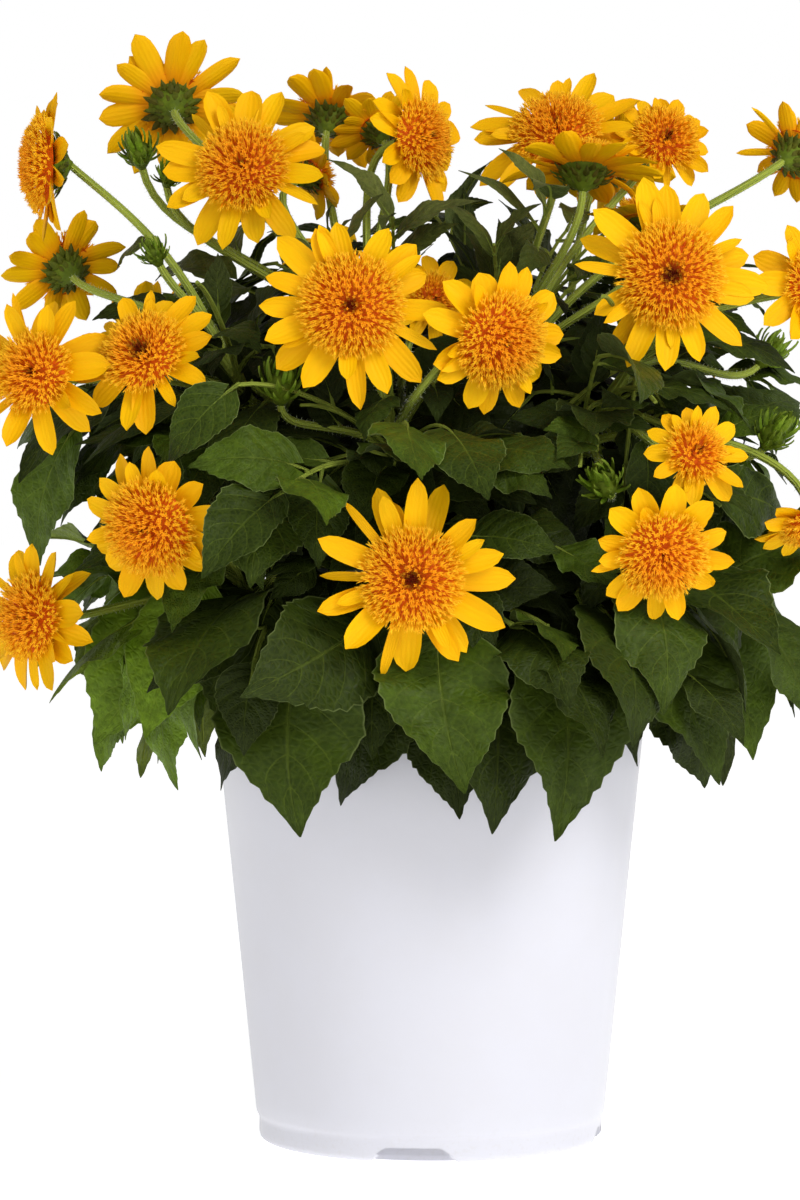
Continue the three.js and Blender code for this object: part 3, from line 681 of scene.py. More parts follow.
def leaf_at(place, attempt):
    """A leaf at its place on a twig: each further try turns it round and makes it smaller."""
    curve, share, order, ahead, scale = place
    base = curve.point(share)
    tangent = curve.tangent(share)
    turn = math.radians(order * GOLDEN_ANGLE + attempt * TRY_TURN)
    round_twig = Quaternion(tangent, turn) @ square_to(UP, tangent)
    along = (tangent * ahead + round_twig * (0.9 - 0.6 * ahead) + outward(base) * LEAF_OUT).normalized()
    high = smooth(*HIGH_LEVELS, base.z)
    pull = LIGHT_PULL * between(0.25, 1.1, order, 7) * blend(1.0, 0.15, high)
    face = square_to(UP + outward(base) * 0.8 + facing(LIGHT_TURN, LIGHT_LIFT) * pull, along)
    along = Quaternion(face, math.radians(swing(LEAF_YAW, order, 4))) @ along
    face = Quaternion(along, math.radians(swing(LEAF_ROLL, order, 5))) @ face
    size = scale * between(*LEAF_SIZES, order, 3) * (1 - attempt * TRY_SHRINK)
    length, width, droop = leaf_size(base.z, size)
    width *= blend(1.0, HIGH_SLIMNESS, high)
    return Leaf(base, along, face, length, width, droop * between(*LEAF_DROOPS, order, 6))


def hanging_leaf(row, order):
    """A leaf that hangs over the rim."""
    turn, tip, length = row
    slope = math.radians(HANGING_SLOPE)
    end = math.radians(HANGING_SLOPE + HANGING_DROOP)
    drop = (math.cos(slope) - math.cos(end)) / (end - slope) * length
    base = place_at(turn, HANGING_RADIUS + (order % 2) * HANGING_STAGGER, tip + drop)
    along = facing(turn, -HANGING_SLOPE)
    pull = HANGING_PULL * smooth(30, 70, abs(turn)) if abs(turn) < 90 else 0.0
    face = square_to(facing(turn, 90 - HANGING_SLOPE) + facing(LIGHT_TURN, LIGHT_LIFT) * pull, along)
    return Leaf(base, along, face, length, length * between(0.56, 0.76, order, 8), HANGING_DROOP)


class Branch:
    """A stalk, shoot or leaf twig: its mass, curve, kind and radii."""

    def __init__(self, mass, curve, kind, radius, tip_radius):
        self.mass = mass
        self.curve = curve
        self.kind = kind
        self.radius = radius
        self.tip_radius = tip_radius
        self.clear_from = STALK_CLEAR_FROM


def shoot_targets(blooms, shoots):
    """Where the shoots of one kind end: at golden angles over the crown, and not in a bloom."""
    count, low, high, reach = shoots["count"], shoots["low"], shoots["high"], shoots["reach"]
    for i in range(count):
        height = blend(low, high, (i + 0.5) / count)
        radius = crown_reach(height) * reach * between(0.88, 1.08, i, count)
        target = place_at(i * GOLDEN_ANGLE, radius, height)
        if clear_of_blooms(blooms, target):
            yield target


def clear_of_blooms(blooms, point, cover=SHOOT_COVER):
    """Nothing grows through a bloom or just in front of this share of its face."""
    for bloom in blooms:
        offset = point - bloom.centre
        ahead = offset.dot(bloom.axis)
        aside = (offset - bloom.axis * ahead).length
        beside = bloom.reach if ahead < BLOOM_EDGE_CLEAR else cover * bloom.reach
        if -7 <= ahead <= BLOOM_FRONT_CLEAR and aside <= beside:
            return False
    return True


class Plant:
    """The skeleton: masses, blooms, buds, branches and the leaves that hang over the rim."""

    def __init__(self):
        self.masses = [Mass(*row) for row in MASSES]
        self.blooms = [Bloom(order, row) for order, row in enumerate(BLOOMS)]
        self.buds = [(Vector(row[:3]), row[3], facing(row[4], row[5])) for row in BUDS]
        self.branches = []
        self.hanging = []
        ends = self.ends()
        for mass in self.masses:
            mass.branches = sum(1 for row in ends if row[0] is mass)
            mass.stem = mass_stem_curve(mass)
        for mass, end, axis, leaf in ends:
            start = branch_place(mass)
            if axis:
                curve = stalk_curve(self.masses, mass, start, end, axis)
                stalk = Branch(mass, curve, "stalk", STALK_RADIUS, STALK_TIP_RADIUS)
                for bloom in self.blooms:
                    if bloom.name in STALK_BOWS and (bloom.centre - end).length < CUP_DEPTH + 1:
                        curve.bow(STALK_BOWS[bloom.name])
                        stalk.clear_from = SHOWN_CLEAR_FROM
                self.branches.append(stalk)
            else:
                kind = "twig" if leaf else "shoot"
                curve = shoot_curve(start, end)
                self.branches.append(Branch(mass, curve, kind, SHOOT_RADIUS, SHOOT_TIP_RADIUS))
                if leaf:
                    self.hanging.append(leaf)
        more = []
        for shoots in (FINE_SHOOTS, FILL_SHOOTS, TOP_SHOOTS):
            more += shoot_targets(self.blooms, shoots)
        more += [place_at(turn, EDGE_REACH * crown_reach(height), height) for turn, height in EDGE_SHOOTS]
        for i, target in enumerate(more):
            mass = nearest_mass(self.masses, target)
            curve = shoot_curve(mass.stem.point(between(0.15, 0.9, i, 70)), target)
            self.branches.append(
                Branch(mass, curve, "shoot", SHOOT_RADIUS * FINE_SHARE, SHOOT_TIP_RADIUS * FINE_SHARE))

    def ends(self):
        """What the masses bear, from the lowest up: (mass, end, facing, leaf)."""
        ends = []
        for bloom in self.blooms:
            end = bloom.centre - bloom.axis * CUP_DEPTH
            ends.append((nearest_mass(self.masses, bloom.centre), end, bloom.axis, None))
        for centre, radius, axis in self.buds:
            ends.append((nearest_mass(self.masses, centre), centre - axis * radius, axis, None))
        hanging = list(HANGING)
        for i in range(HANGING_BACK_COUNT):
            turn = HANGING_BACK_FROM + i * HANGING_BACK_STEP
            hanging.append((turn, between(188, 222, i, 60), between(98, 116, i, 61)))
        for order, row in enumerate(hanging):
            mass = nearest_mass(self.masses, place_at(row[0], HANGING_RADIUS, MASSES[0][3]))
            leaf = hanging_leaf(row, order)
            ends.append((mass, leaf.base.copy(), None, leaf))
        for shoots in (OUTER_SHOOTS, INNER_SHOOTS):
            for target in shoot_targets(self.blooms, shoots):
                ends.append((nearest_mass(self.masses, target), target, None, None))
        return sorted(ends, key=lambda row: row[1].z)


@cache
def grown_plant():
    """The plant's skeleton, worked out once."""
    return Plant()


# Meshes
def new_object(name, data):
    """A new object in the scene."""
    made = bpy.data.objects.new(name, data)
    bpy.context.scene.collection.objects.link(made)
    return made


def set_attribute(mesh, name, values):
    """Gives a mesh a value or vector for each point."""
    vector = values.ndim == 2
    layer = mesh.attributes.new(name, "FLOAT_VECTOR" if vector else "FLOAT", "POINT")
    layer.data.foreach_set("vector" if vector else "value", values.astype(np.float32).ravel())


class Shape:
    """Points with a UV, tint and shade, and faces with their material's place, for one mesh."""

    def __init__(self):
        self.points = []
        self.faces = []
        self.uvs = []
        self.tints = []
        self.shades = []
        self.fills = []

    def add(self, points, faces, uvs, tint=0.5, fills=None, shade=1.0):
        """Adds one body: its points in millimetres, faces, UVs, tint, shade and material places."""
        first = len(self.tints)
        self.points.append(np.asarray(points, float))
        self.faces.extend([first + i for i in face] for face in faces)
        self.uvs.append(np.asarray(uvs, float))
        self.tints.extend([tint] * len(points))
        self.shades.extend([shade] * len(points))
        self.fills.extend(fills or [0] * len(faces))

    def make(self, name, *materials):
        """The shape as an object, smooth but for its sharp edges."""
        mesh = bpy.data.meshes.new(name)
        mesh.from_pydata((np.concatenate(self.points) * MM).tolist(), [], self.faces)
        for material in materials:
            mesh.materials.append(material)
        mesh.polygons.foreach_set("material_index", self.fills)
        mesh.polygons.foreach_set("use_smooth", [True] * len(self.faces))
        corners = np.empty(len(mesh.loops), np.int32)
        mesh.loops.foreach_get("vertex_index", corners)
        uvs = np.concatenate(self.uvs)[corners]
        mesh.uv_layers.new(name="UVMap").data.foreach_set("uv", uvs.ravel().astype(np.float32))
        set_attribute(mesh, "tint", np.array(self.tints))
        set_attribute(mesh, "shade", np.array(self.shades))
        mesh.update()
        mesh.set_sharp_from_angle(angle=math.radians(SHARP_ANGLE))
        return new_object(name, mesh)


def seat(piece, slot, *nodes):
    """Lets a finished piece ride on the plant and hides the nodes it stands for; the slot is not used."""
    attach(piece, "root")
    if nodes:
        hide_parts(*nodes)


@cache
def blade_faces(rows, columns):
    """Faces and material places of a closed thin blade: a grid above and a grid below."""

    def above(row, column):
        return row * columns + column

    def below(row, column):
        if column in (0, columns - 1):
            return above(row, column)
        return rows * columns + row * (columns - 2) + column - 1

    faces = []
    fills = []
    for row in range(rows - 1):
        for column in range(columns - 1):
            faces.append((above(row, column), above(row, column + 1),
                          above(row + 1, column + 1), above(row + 1, column)))
            faces.append((below(row, column), below(row + 1, column),
                          below(row + 1, column + 1), below(row, column + 1)))
            fills.extend([0, 1])
    for row in (0, rows - 1):
        ring = [above(row, column) for column in range(columns)]
        ring += [below(row, column) for column in range(columns - 2, 0, -1)]
        faces.append(tuple(ring if row else reversed(ring)))
        fills.append(0)
    return faces, fills


def add_blade(shape, surface, normals, thickness, tint, shade=1.0):
    """Adds a closed blade from its upper surface (rows, columns, 3) and the normals there."""
    rows, columns, _ = surface.shape
    lower = (surface - normals * thickness)[:, 1:-1]
    along, across = np.meshgrid(np.linspace(0, 1, rows), np.linspace(0, 1, columns), indexing="ij")
    upper_uvs = np.stack([across, along], axis=2)
    points = np.concatenate([surface.reshape(-1, 3), lower.reshape(-1, 3)])
    uvs = np.concatenate([upper_uvs.reshape(-1, 2), upper_uvs[:, 1:-1].reshape(-1, 2)])
    faces, fills = blade_faces(rows, columns)
    shape.add(points, faces, uvs, tint, fills, shade)


def limb_faces(rings, sides, turned):
    """The faces of a closed body of rings, which run the other way round where it is turned."""
    top = (rings - 1) * sides
    caps = [tuple(range(sides)), tuple(range(top + sides - 1, top - 1, -1))]
    faces = []
    for low in range(0, top, sides):
        for k in range(sides):
            following = low + (k + 1) % sides
            corners = (low + k, low + k + sides, following + sides, following)
            faces.append((corners[0], *corners[:0:-1]) if turned else corners)
    return faces + [cap[::-1] if turned else cap for cap in caps]


def add_tube(shape, points, radii, sides, tint=0.5, ribs=0.0, fill=0):
    """Adds a closed round limb through points, with its radius at each and shallow ribs."""
    points = [Vector(point) for point in points]
    count = len(points)
    rings = []
    uvs = []
    mark = 0.0
    for i, point in enumerate(points):
        along = (points[min(i + 1, count - 1)] - points[max(i - 1, 0)]).normalized()
        across = square_to(across, along) if i else crosswise(along)
        side = across.cross(along)
        mark += (point - points[i - 1]).length if i else 0.0
        for k in range(sides):
            turn = 2 * math.pi * k / sides
            reach = radii[i] * (1 + ribs * math.cos(turn * sides / 2))
            rings.append(point + across * math.cos(turn) * reach + side * math.sin(turn) * reach)
            uvs.append((1 - abs(2 * k / sides - 1), mark / 100))
    faces = limb_faces(count, sides, False)
    shape.add(rings, faces, uvs, tint, [fill] * len(faces))


def add_turned(shape, profile, segments, place, tint=0.5):
    """Adds a closed turned body: profile of (radius, height), placed by a function of (turn, r, h)."""
    points = []
    uvs = []
    for radius, height in profile:
        for k in range(segments):
            points.append(place(360 * k / segments, radius, height))
            uvs.append((1 - abs(2 * k / segments - 1), height / 100))
    shape.add(points, limb_faces(len(profile), segments, True), uvs, tint)


# Small pieces set on points by Geometry Nodes
def new_socket(tree, name, kind, direction="INPUT", default=None):
    """Adds a named socket to a tree's interface."""
    made = tree.interface.new_socket(name=name, in_out=direction, socket_type="NodeSocket" + kind)
    if default is not None:
        made.default_value = default
    return made


class Wiring:
    """Adds nodes to a tree, each set and linked in one line."""

    def __init__(self, tree):
        self.tree = tree

    def node(self, kind, *links, **values):
        """A node with its settings; each link is an input and the socket or value that feeds it."""
        made = self.tree.nodes.new(kind)
        for name, value in values.items():
            setattr(made, name, value)
        for key, source in links:
            if isinstance(source, bpy.types.NodeSocket):
                self.tree.links.new(source, made.inputs[key])
            else:
                made.inputs[key].default_value = source
        return made

    def maths(self, operation, *sources):
        """The result of a Math node."""
        return self.node("ShaderNodeMath", *enumerate(sources), operation=operation).outputs[0]

    def times(self, first, second):
        """The product of two values."""
        return self.maths("MULTIPLY", first, second)

    def span(self, value, low, high, to_low=0.0, to_high=1.0):
        """A value carried smoothly from one range to another."""
        made = self.node(
            "ShaderNodeMapRange", (0, value), (1, low), (2, high), (3, to_low), (4, to_high),
            interpolation_type="SMOOTHSTEP")
        return made.outputs[0]

    def mix(self, share, first, second, mode="MIX"):
        """A mix of two colours."""
        made = self.node(
            "ShaderNodeMix", (0, share), (6, first), (7, second), data_type="RGBA", blend_type=mode)
        return made.outputs[2]

    def attribute(self, name):
        """The value of a float attribute of the mesh."""
        return self.node("ShaderNodeAttribute", attribute_name=name).outputs["Fac"]

    def own_map(self):
        """The place on the piece's own UV map."""
        return self.node("ShaderNodeUVMap", uv_map="UVMap").outputs[0]

    def object_place(self):
        """The place on the object."""
        return self.node("ShaderNodeTexCoord").outputs["Object"]

    def part(self, vector, axis):
        """One part of a vector: 0 for x, 1 for y, 2 for z."""
        return self.node("ShaderNodeSeparateXYZ", (0, vector)).outputs[axis]

    def vectors(self, operation, first, second):
        """The result of a Vector Math node."""
        return self.node("ShaderNodeVectorMath", (0, first), (1, second), operation=operation).outputs[0]

    def grain(self, vector, scale, detail, roughness=0.5):
        """Smooth noise from 0 to 1."""
        made = self.node(
            "ShaderNodeTexNoise", ("Vector", vector), ("Scale", scale), ("Detail", detail),
            ("Roughness", roughness))
        return made.outputs["Fac"]


@cache
def planting_tree():
    """Sets a small piece on every point, along the point's own direction and facing its own way."""
    tree = bpy.data.node_groups.new("Set on points", "GeometryNodeTree")
    new_socket(tree, "Points", "Geometry")
    new_socket(tree, "Piece", "Object")
    new_socket(tree, "Size", "Float", default=1.0)
    new_socket(tree, "Size spread", "Float", default=0.1)
    new_socket(tree, "Lean", "Float", default=0.1)
    new_socket(tree, "Spin", "Float", default=0.0)
    new_socket(tree, "Seed", "Int", default=1)
    new_socket(tree, "Material", "Material")
    new_socket(tree, "Mesh", "Geometry", "OUTPUT")
    wiring = Wiring(tree)
    given = wiring.node("NodeGroupInput").outputs
    piece = wiring.node("GeometryNodeObjectInfo", ("Object", given["Piece"]))

    def named(name, kind):
        return wiring.node("GeometryNodeInputNamedAttribute", ("Name", name), data_type=kind).outputs[0]

    def chosen(low, high, shift):
        seed = wiring.node("FunctionNodeIntegerMath", (0, given["Seed"]), (1, shift), operation="ADD")
        made = wiring.node(
            "FunctionNodeRandomValue", ("Min", low), ("Max", high), ("Seed", seed.outputs[0]),
            data_type="FLOAT_VECTOR")
        return made.outputs[0]

    sway = wiring.vectors("MULTIPLY", chosen((-1, -1, -1), (1, 1, 1), 1), given["Lean"])
    lead = wiring.vectors("ADD", named("out", "FLOAT_VECTOR"), sway)
    upright = wiring.node("FunctionNodeAlignRotationToVector", ("Vector", lead), axis="Z")
    faced = wiring.node(
        "FunctionNodeAlignRotationToVector", ("Rotation", upright.outputs[0]),
        ("Vector", named("face", "FLOAT_VECTOR")), axis="Y", pivot_axis="Z")
    spin = wiring.vectors("MULTIPLY", chosen((0, 0, -1), (0, 0, 1), 2), given["Spin"])
    turned = wiring.node("FunctionNodeEulerToRotation", ("Euler", spin))
    rotation = wiring.node(
        "FunctionNodeRotateRotation", ("Rotation", faced.outputs[0]), ("Rotate By", turned.outputs[0]),
        rotation_space="LOCAL")
    spread = wiring.times(wiring.part(chosen((-1, -1, -1), (1, 1, 1), 3), 0), given["Size spread"])
    own = wiring.times(named("size", "FLOAT"), given["Size"])
    scale = wiring.times(own, wiring.maths("ADD", spread, 1.0))
    placed = wiring.node(
        "GeometryNodeInstanceOnPoints", ("Points", given["Points"]), ("Instance", piece.outputs["Geometry"]),
        ("Rotation", rotation.outputs[0]), ("Scale", scale))
    real = wiring.node("GeometryNodeRealizeInstances", ("Geometry", placed.outputs[0]))
    finished = wiring.node(
        "GeometryNodeSetMaterial", ("Geometry", real.outputs[0]), ("Material", given["Material"]))
    wiring.node("NodeGroupOutput", ("Mesh", finished.outputs[0]))
    return tree


class Spots:
    """Points on which small pieces are set: place, direction, facing, size, tint and shade."""

    def __init__(self):
        self.rows = []

    def add(self, point, out, face, size=1.0, tint=0.5, shade=0.5):
        """Adds one point, in millimetres."""
        self.rows.append((*point, *out, *face, size, tint, shade))

    def plant(self, name, template, material, **inputs):
        """The pieces as one mesh object, made by the tree and then left plain."""
        table = np.array(self.rows, np.float32)
        mesh = bpy.data.meshes.new(name)
        mesh.from_pydata((table[:, :3] * MM).tolist(), [], [])
        set_attribute(mesh, "out", table[:, 3:6])
        set_attribute(mesh, "face", table[:, 6:9])
        for column, attribute in enumerate(("size", "tint", "shade"), 9):
            set_attribute(mesh, attribute, table[:, column])
        source = new_object(name + "_points", mesh)
        modifier = source.modifiers.new("Set on points", "NODES")
        modifier.node_group = planting_tree()
        inputs = {"Piece": template, "Material": material, **inputs}
        for socket in modifier.node_group.interface.items_tree:
            if socket.name in inputs and socket.in_out == "INPUT":
                modifier[socket.identifier] = inputs[socket.name]
        evaluated = source.evaluated_get(bpy.context.evaluated_depsgraph_get())
        made = bpy.data.meshes.new_from_object(evaluated)
        made.name = name
        source.modifiers.clear()
        bpy.data.objects.remove(source)
        return new_object(name, made)


def template(name, points, faces):
    """A small piece one unit long along +Z, with its UV running up it; it is removed after use."""
    mesh = bpy.data.meshes.new(name)
    mesh.from_pydata(points, [], faces)
    layer = mesh.uv_layers.new(name="UVMap").data
    for loop in mesh.loops:
        x, _, z = points[loop.vertex_index]
        layer[loop.index].uv = (0.5 + x, z)
    return new_object(name, mesh)


def remove(*templates):
    """Takes templates away once they are used."""
    for piece in templates:
        bpy.data.objects.remove(piece)


def ring(count, radius, height, shift=0.0):
    """Points in a ring."""
    turns = [2 * math.pi * (k + shift) / count for k in range(count)]
    return [(radius * math.cos(turn), radius * math.sin(turn), height) for turn in turns]


def floret_template():
    """A tubular floret with spread lobes round its throat."""
    lobes = 4
    points = [(0, 0, 0), *ring(lobes, 0.07, 0.78), *ring(lobes, 0.14, 1.0, 0.5), (0, 0, 0.76)]
    throat = 2 * lobes + 1
    faces = []
    for k in range(lobes):
        near, following, lobe = 1 + k, 1 + (k + 1) % lobes, 1 + lobes + k
        faces.append((0, following, near))
        faces.append((near, following, lobe))
        faces.append((throat, near, lobe))
        faces.append((throat, lobe, following))
    return template("floret", points, faces)


def hair_template():
    """A thin pointed hair."""
    points = [*ring(3, 0.07, 0), (0, 0, 1)]
    return template("hair", points, [(0, 1, 3), (1, 2, 3), (2, 0, 3), (2, 1, 0)])


def bract_template(name, slimness):
    """A pointed green bract, curved away from its face (+Y)."""
    widths = [width * slimness for width in (0.13, 0.25, 0.21, 0.1, 0.012)]
    heights = [0.0, 0.28, 0.56, 0.82, 1.0]
    bows = [0.0, 0.05, 0.05, -0.01, -0.1]
    points = []
    for width, height, bow in zip(widths, heights, bows):
        points += [(-width, bow - 0.05, height), (0, bow + 0.04, height), (width, bow - 0.05, height),
                   (0, bow - 0.03, height)]
    faces = [(0, 3, 2, 1)]
    for row in range(len(widths) - 1):
        low, high = 4 * row, 4 * row + 4
        for k in range(4):
            following = (k + 1) % 4
            faces.append((low + following, high + following, high + k, low + k))
    faces.append((16, 17, 18, 19))
    return template(name, points, [tuple(reversed(face)) for face in faces])


def crumb_template():
    """An uneven crumb or chip."""
    points = [(0.05, 0.0, -0.3), *ring(5, 0.5, 0.0), (-0.08, 0.06, 0.36)]
    points = [
        (x * between(1.0, 1.5, i, 80), y * between(0.6, 1.1, i, 81), z) for i, (x, y, z) in enumerate(points)]
    faces = []
    for k in range(5):
        following = (k + 1) % 5
        faces.append((0, 1 + following, 1 + k))
        faces.append((6, 1 + k, 1 + following))
    return template("crumb", points, faces)


# Shader effects that several materials share
def new_group(name, inputs, outputs):
    """An empty shader group with its sockets, and the wiring to fill it."""
    tree = bpy.data.node_groups.new(name, "ShaderNodeTree")
    for socket, kind, default in inputs:
        new_socket(tree, socket, kind, default=default)
    for socket, kind in outputs:
        new_socket(tree, socket, kind, "OUTPUT")
    wiring = Wiring(tree)
    return tree, wiring, wiring.node("NodeGroupInput").outputs


@cache
def mottle_group():
    """Soft patches of two colours on Object coordinates."""
    tree, wiring, given = new_group(
        "Mottle",
        [("First", "Color", None), ("Second", "Color", None),
         ("Scale", "Float", 60.0), ("Contrast", "Float", 0.5)],
        [("Colour", "Color"), ("Mask", "Float")])
    mask = wiring.span(wiring.grain(wiring.object_place(), given["Scale"], 5.0, 0.6), 0.32, 0.68)
    mixed = wiring.mix(wiring.times(mask, given["Contrast"]), given["First"], given["Second"])
    wiring.node("NodeGroupOutput", ("Colour", mixed), ("Mask", mask))
    return tree


@cache
def vein_group():
    """The veins of a leaf on its own UV map: a midrib, curved side veins and a net between them."""
    tree, wiring, given = new_group(
        "Leaf veins",
        [("Side veins", "Float", 8.0)],
        [("Veins", "Float"), ("Net", "Float"), ("Rim", "Float"),
         ("Height", "Float")])
    place = wiring.own_map()
    aside = wiring.maths("ABSOLUTE", wiring.maths("SUBTRACT", wiring.part(place, 0), 0.5))
    aside = wiring.times(aside, 2.0)
    swept = wiring.times(wiring.maths("POWER", aside, 1.25), 0.3)
    rise = wiring.times(wiring.maths("SUBTRACT", wiring.part(place, 1), swept), given["Side veins"])
    off_vein = wiring.maths("PINGPONG", rise, 0.5)
    midrib = wiring.span(aside, 0.01, 0.045, 1.0, 0.0)
    side_vein = wiring.times(
        wiring.span(off_vein, 0.0, 0.055, 1.0, 0.0), wiring.span(aside, 0.5, 1.0, 1.0, 0.35))
    veins = wiring.maths("MAXIMUM", midrib, side_vein)
    cells = wiring.node(
        "ShaderNodeTexVoronoi", ("Vector", wiring.vectors("MULTIPLY", place, (13.0, 24.0, 1.0))),
        ("Scale", 1.0), feature="DISTANCE_TO_EDGE")
    quilt = wiring.span(cells.outputs["Distance"], 0.0, 0.3)
    swell = wiring.span(off_vein, 0.0, 0.42)
    relief = wiring.maths("ADD", wiring.times(swell, 0.65), wiring.times(quilt, 0.35))
    wiring.node(
        "NodeGroupOutput", ("Veins", veins), ("Net", wiring.maths("SUBTRACT", 1.0, quilt)),
        ("Rim", wiring.span(aside, 0.965, 0.995)),
        ("Height", wiring.times(relief, wiring.maths("SUBTRACT", 1.0, veins))))
    return tree


@cache
def groove_group():
    """Fine uneven lines that run along a piece's own UV map."""
    tree, wiring, given = new_group(
        "Grooves",
        [("Lines", "Float", 6.0), ("Waviness", "Float", 0.3)],
        [("Height", "Float"), ("Streaks", "Float")])
    place = wiring.own_map()
    sway = wiring.times(wiring.maths("SUBTRACT", wiring.grain(place, 3.0, 2.0), 0.5), given["Waviness"])
    across = wiring.times(wiring.maths("ADD", wiring.part(place, 0), sway), given["Lines"])
    along = wiring.times(wiring.part(place, 1), 1.5)
    lines = wiring.node("ShaderNodeCombineXYZ", (0, across), (1, along)).outputs[0]
    wiring.node(
        "NodeGroupOutput", ("Height", wiring.span(wiring.maths("PINGPONG", across, 0.5), 0.0, 0.5)),
        ("Streaks", wiring.grain(lines, 2.0, 3.0)))
    return tree


class Finish(Wiring):
    """A material with one Principled shader, with its even values given by socket."""

    def __init__(self, name, **values):
        self.material = bpy.data.materials.new(name)
        self.material.use_nodes = True
        super().__init__(self.material.node_tree)
        self.shader = self.tree.nodes["Principled BSDF"]
        for socket, value in values.items():
            self.shader.inputs[socket.replace("_", " ")].default_value = value

    def group(self, tree, *links):
        """A shared effect with its own values."""
        return self.node("ShaderNodeGroup", *links, node_tree=tree).outputs

    def mottle(self, first, second, scale, contrast=0.5):
        """Soft patches of two colours."""
        return self.group(
            mottle_group(), ("First", first), ("Second", second), ("Scale", scale), ("Contrast", contrast))

    def colour(self, source):
        """Links the base colour."""
        self.tree.links.new(source, self.shader.inputs["Base Color"])

    def roughness(self, source):
        """Links the roughness."""
        self.tree.links.new(source, self.shader.inputs["Roughness"])

    def bump(self, height, distance, strength=1.0):
        """Links a relief of this depth in metres."""
        made = self.node("ShaderNodeBump", ("Height", height), ("Distance", distance), ("Strength", strength))
        self.tree.links.new(made.outputs[0], self.shader.inputs["Normal"])


@cache
def leaf_material(under):
    """The upper or lower side of a leaf."""
    settings = bpy.context.scene.sunflower_leaf
    finish = Finish("Leaf underside" if under else "Leaf", Specular_IOR_Level=0.1 if under else 0.11)
    veins = finish.group(vein_group(), ("Side veins", settings.vein_count))
    tint = finish.attribute("tint")
    if under:
        base = finish.mix(tint, paint(settings.under), paint(settings.vein))
    else:
        green = finish.mix(tint, paint(settings.dark), paint(settings.pale))
        # Leaves high in the crown are mixed towards a greyer green, a painted sheen
        high = finish.span(finish.part(finish.object_place(), 2), 0.45, 0.54, 0.0, 0.5)
        base = finish.mix(high, green, paint(settings.high))
    shaded = finish.mix(0.45, base, paint(settings.dark), "MULTIPLY")
    patches = finish.mottle(base, shaded, 60.0, 0.9)
    veined = finish.mix(finish.times(veins["Veins"], 0.26), patches["Colour"], paint(settings.vein))
    netted = finish.mix(finish.times(veins["Net"], 0.1), veined, paint(settings.vein))
    fine = finish.mottle(netted, paint(settings.dark), 320.0, 0.4)
    rimmed = finish.mix(finish.times(veins["Rim"], 0.5), fine["Colour"], paint(settings.rim))
    # Painted shade: the colour darkens towards DEEP_SHADE as the leaf's shade falls, deep in the crown and
    # low over the rim
    depth = finish.span(finish.attribute("shade"), 0.0, 1.0, 0.8, 0.0)
    finish.colour(finish.mix(depth, rimmed, paint(DEEP_SHADE)))
    finish.roughness(finish.span(patches["Mask"], 0.0, 1.0, 0.44, 0.6))
    finish.bump(veins["Height"], -0.0009 if under else 0.0009, 0.8)
    return finish.material


@cache
def stem_material():
    """The green of stems, boughs, stalks and shoots, lighter towards the tips."""
    settings = bpy.context.scene.sunflower_stem
    finish = Finish("Green stem", Roughness=0.6, Specular_IOR_Level=0.15)
    grooves = finish.group(groove_group(), ("Lines", 4.0), ("Waviness", 0.15))
    base = finish.mix(finish.attribute("tint"), paint(settings.shade), paint(settings.colour))
    streaks = finish.times(finish.span(grooves["Streaks"], 0.4, 0.65), 0.5)
    streaked = finish.mix(streaks, base, paint(settings.shade))
    finish.colour(finish.mottle(streaked, paint(settings.colour), 90.0, 0.3)["Colour"])
    finish.bump(grooves["Height"], 0.0005)
    return finish.material


@cache
def hair_material():
    """The pale hairs of the stalks."""
    settings = bpy.context.scene.sunflower_stem
    finish = Finish("Stalk hair", Roughness=0.7)
    finish.colour(finish.mix(finish.attribute("tint"), paint(settings.hair_green), paint(settings.hair_pale)))
    return finish.material


@cache
def ray_material(under):
    """The upper or lower side of the rays."""
    settings = bpy.context.scene.sunflower_bloom
    ray_base = settings.ray_base
    foot_base = [blend(*pair, 0.3) for pair in zip(ray_base, settings.depth)] if under else ray_base
    finish = Finish("Ray underside" if under else "Ray", Roughness=0.6, Specular_IOR_Level=0.1)
    grooves = finish.group(groove_group(), ("Lines", 5.0), ("Waviness", 0.12))
    streaks = finish.times(finish.span(grooves["Streaks"], 0.35, 0.7), 0.16)
    streaked = finish.mix(streaks, paint(settings.ray), paint(ray_base))
    toned = finish.mix(finish.times(finish.attribute("tint"), 0.3), streaked, paint(ray_base))
    foot = finish.span(finish.part(finish.own_map(), 1), 0.02, 0.55 if under else 0.4, 1.0, 0.0)
    finish.colour(finish.mix(finish.times(foot, 0.9 if under else 0.75), toned, paint(foot_base)))
    finish.bump(grooves["Height"], 0.0003, 0.4)
    return finish.material


@cache
def floret_material():
    """The florets: deep orange at the foot, lighter at the tips, dark where they are unopened."""
    settings = bpy.context.scene.sunflower_bloom
    ray_base = paint(settings.ray_base)
    finish = Finish("Florets", Roughness=0.6, Specular_IOR_Level=0.1)
    rise = finish.part(finish.own_map(), 1)
    shade = finish.attribute("shade")
    outward_share = finish.span(shade, 0.45, 0.92)
    outer = finish.mix(outward_share, paint(settings.tip), paint(settings.edge))
    lit = finish.mix(finish.times(finish.attribute("tint"), 0.2), outer, ray_base)
    foot = finish.mix(finish.times(outward_share, 0.9), paint(settings.depth), ray_base)
    tube = finish.mix(finish.span(rise, 0.1, 0.5), foot, ray_base)
    body = finish.mix(finish.span(rise, 0.5, 0.8), tube, lit)
    finish.colour(finish.mix(finish.span(shade, 0.02, 0.3), paint(settings.middle), body))
    return finish.material


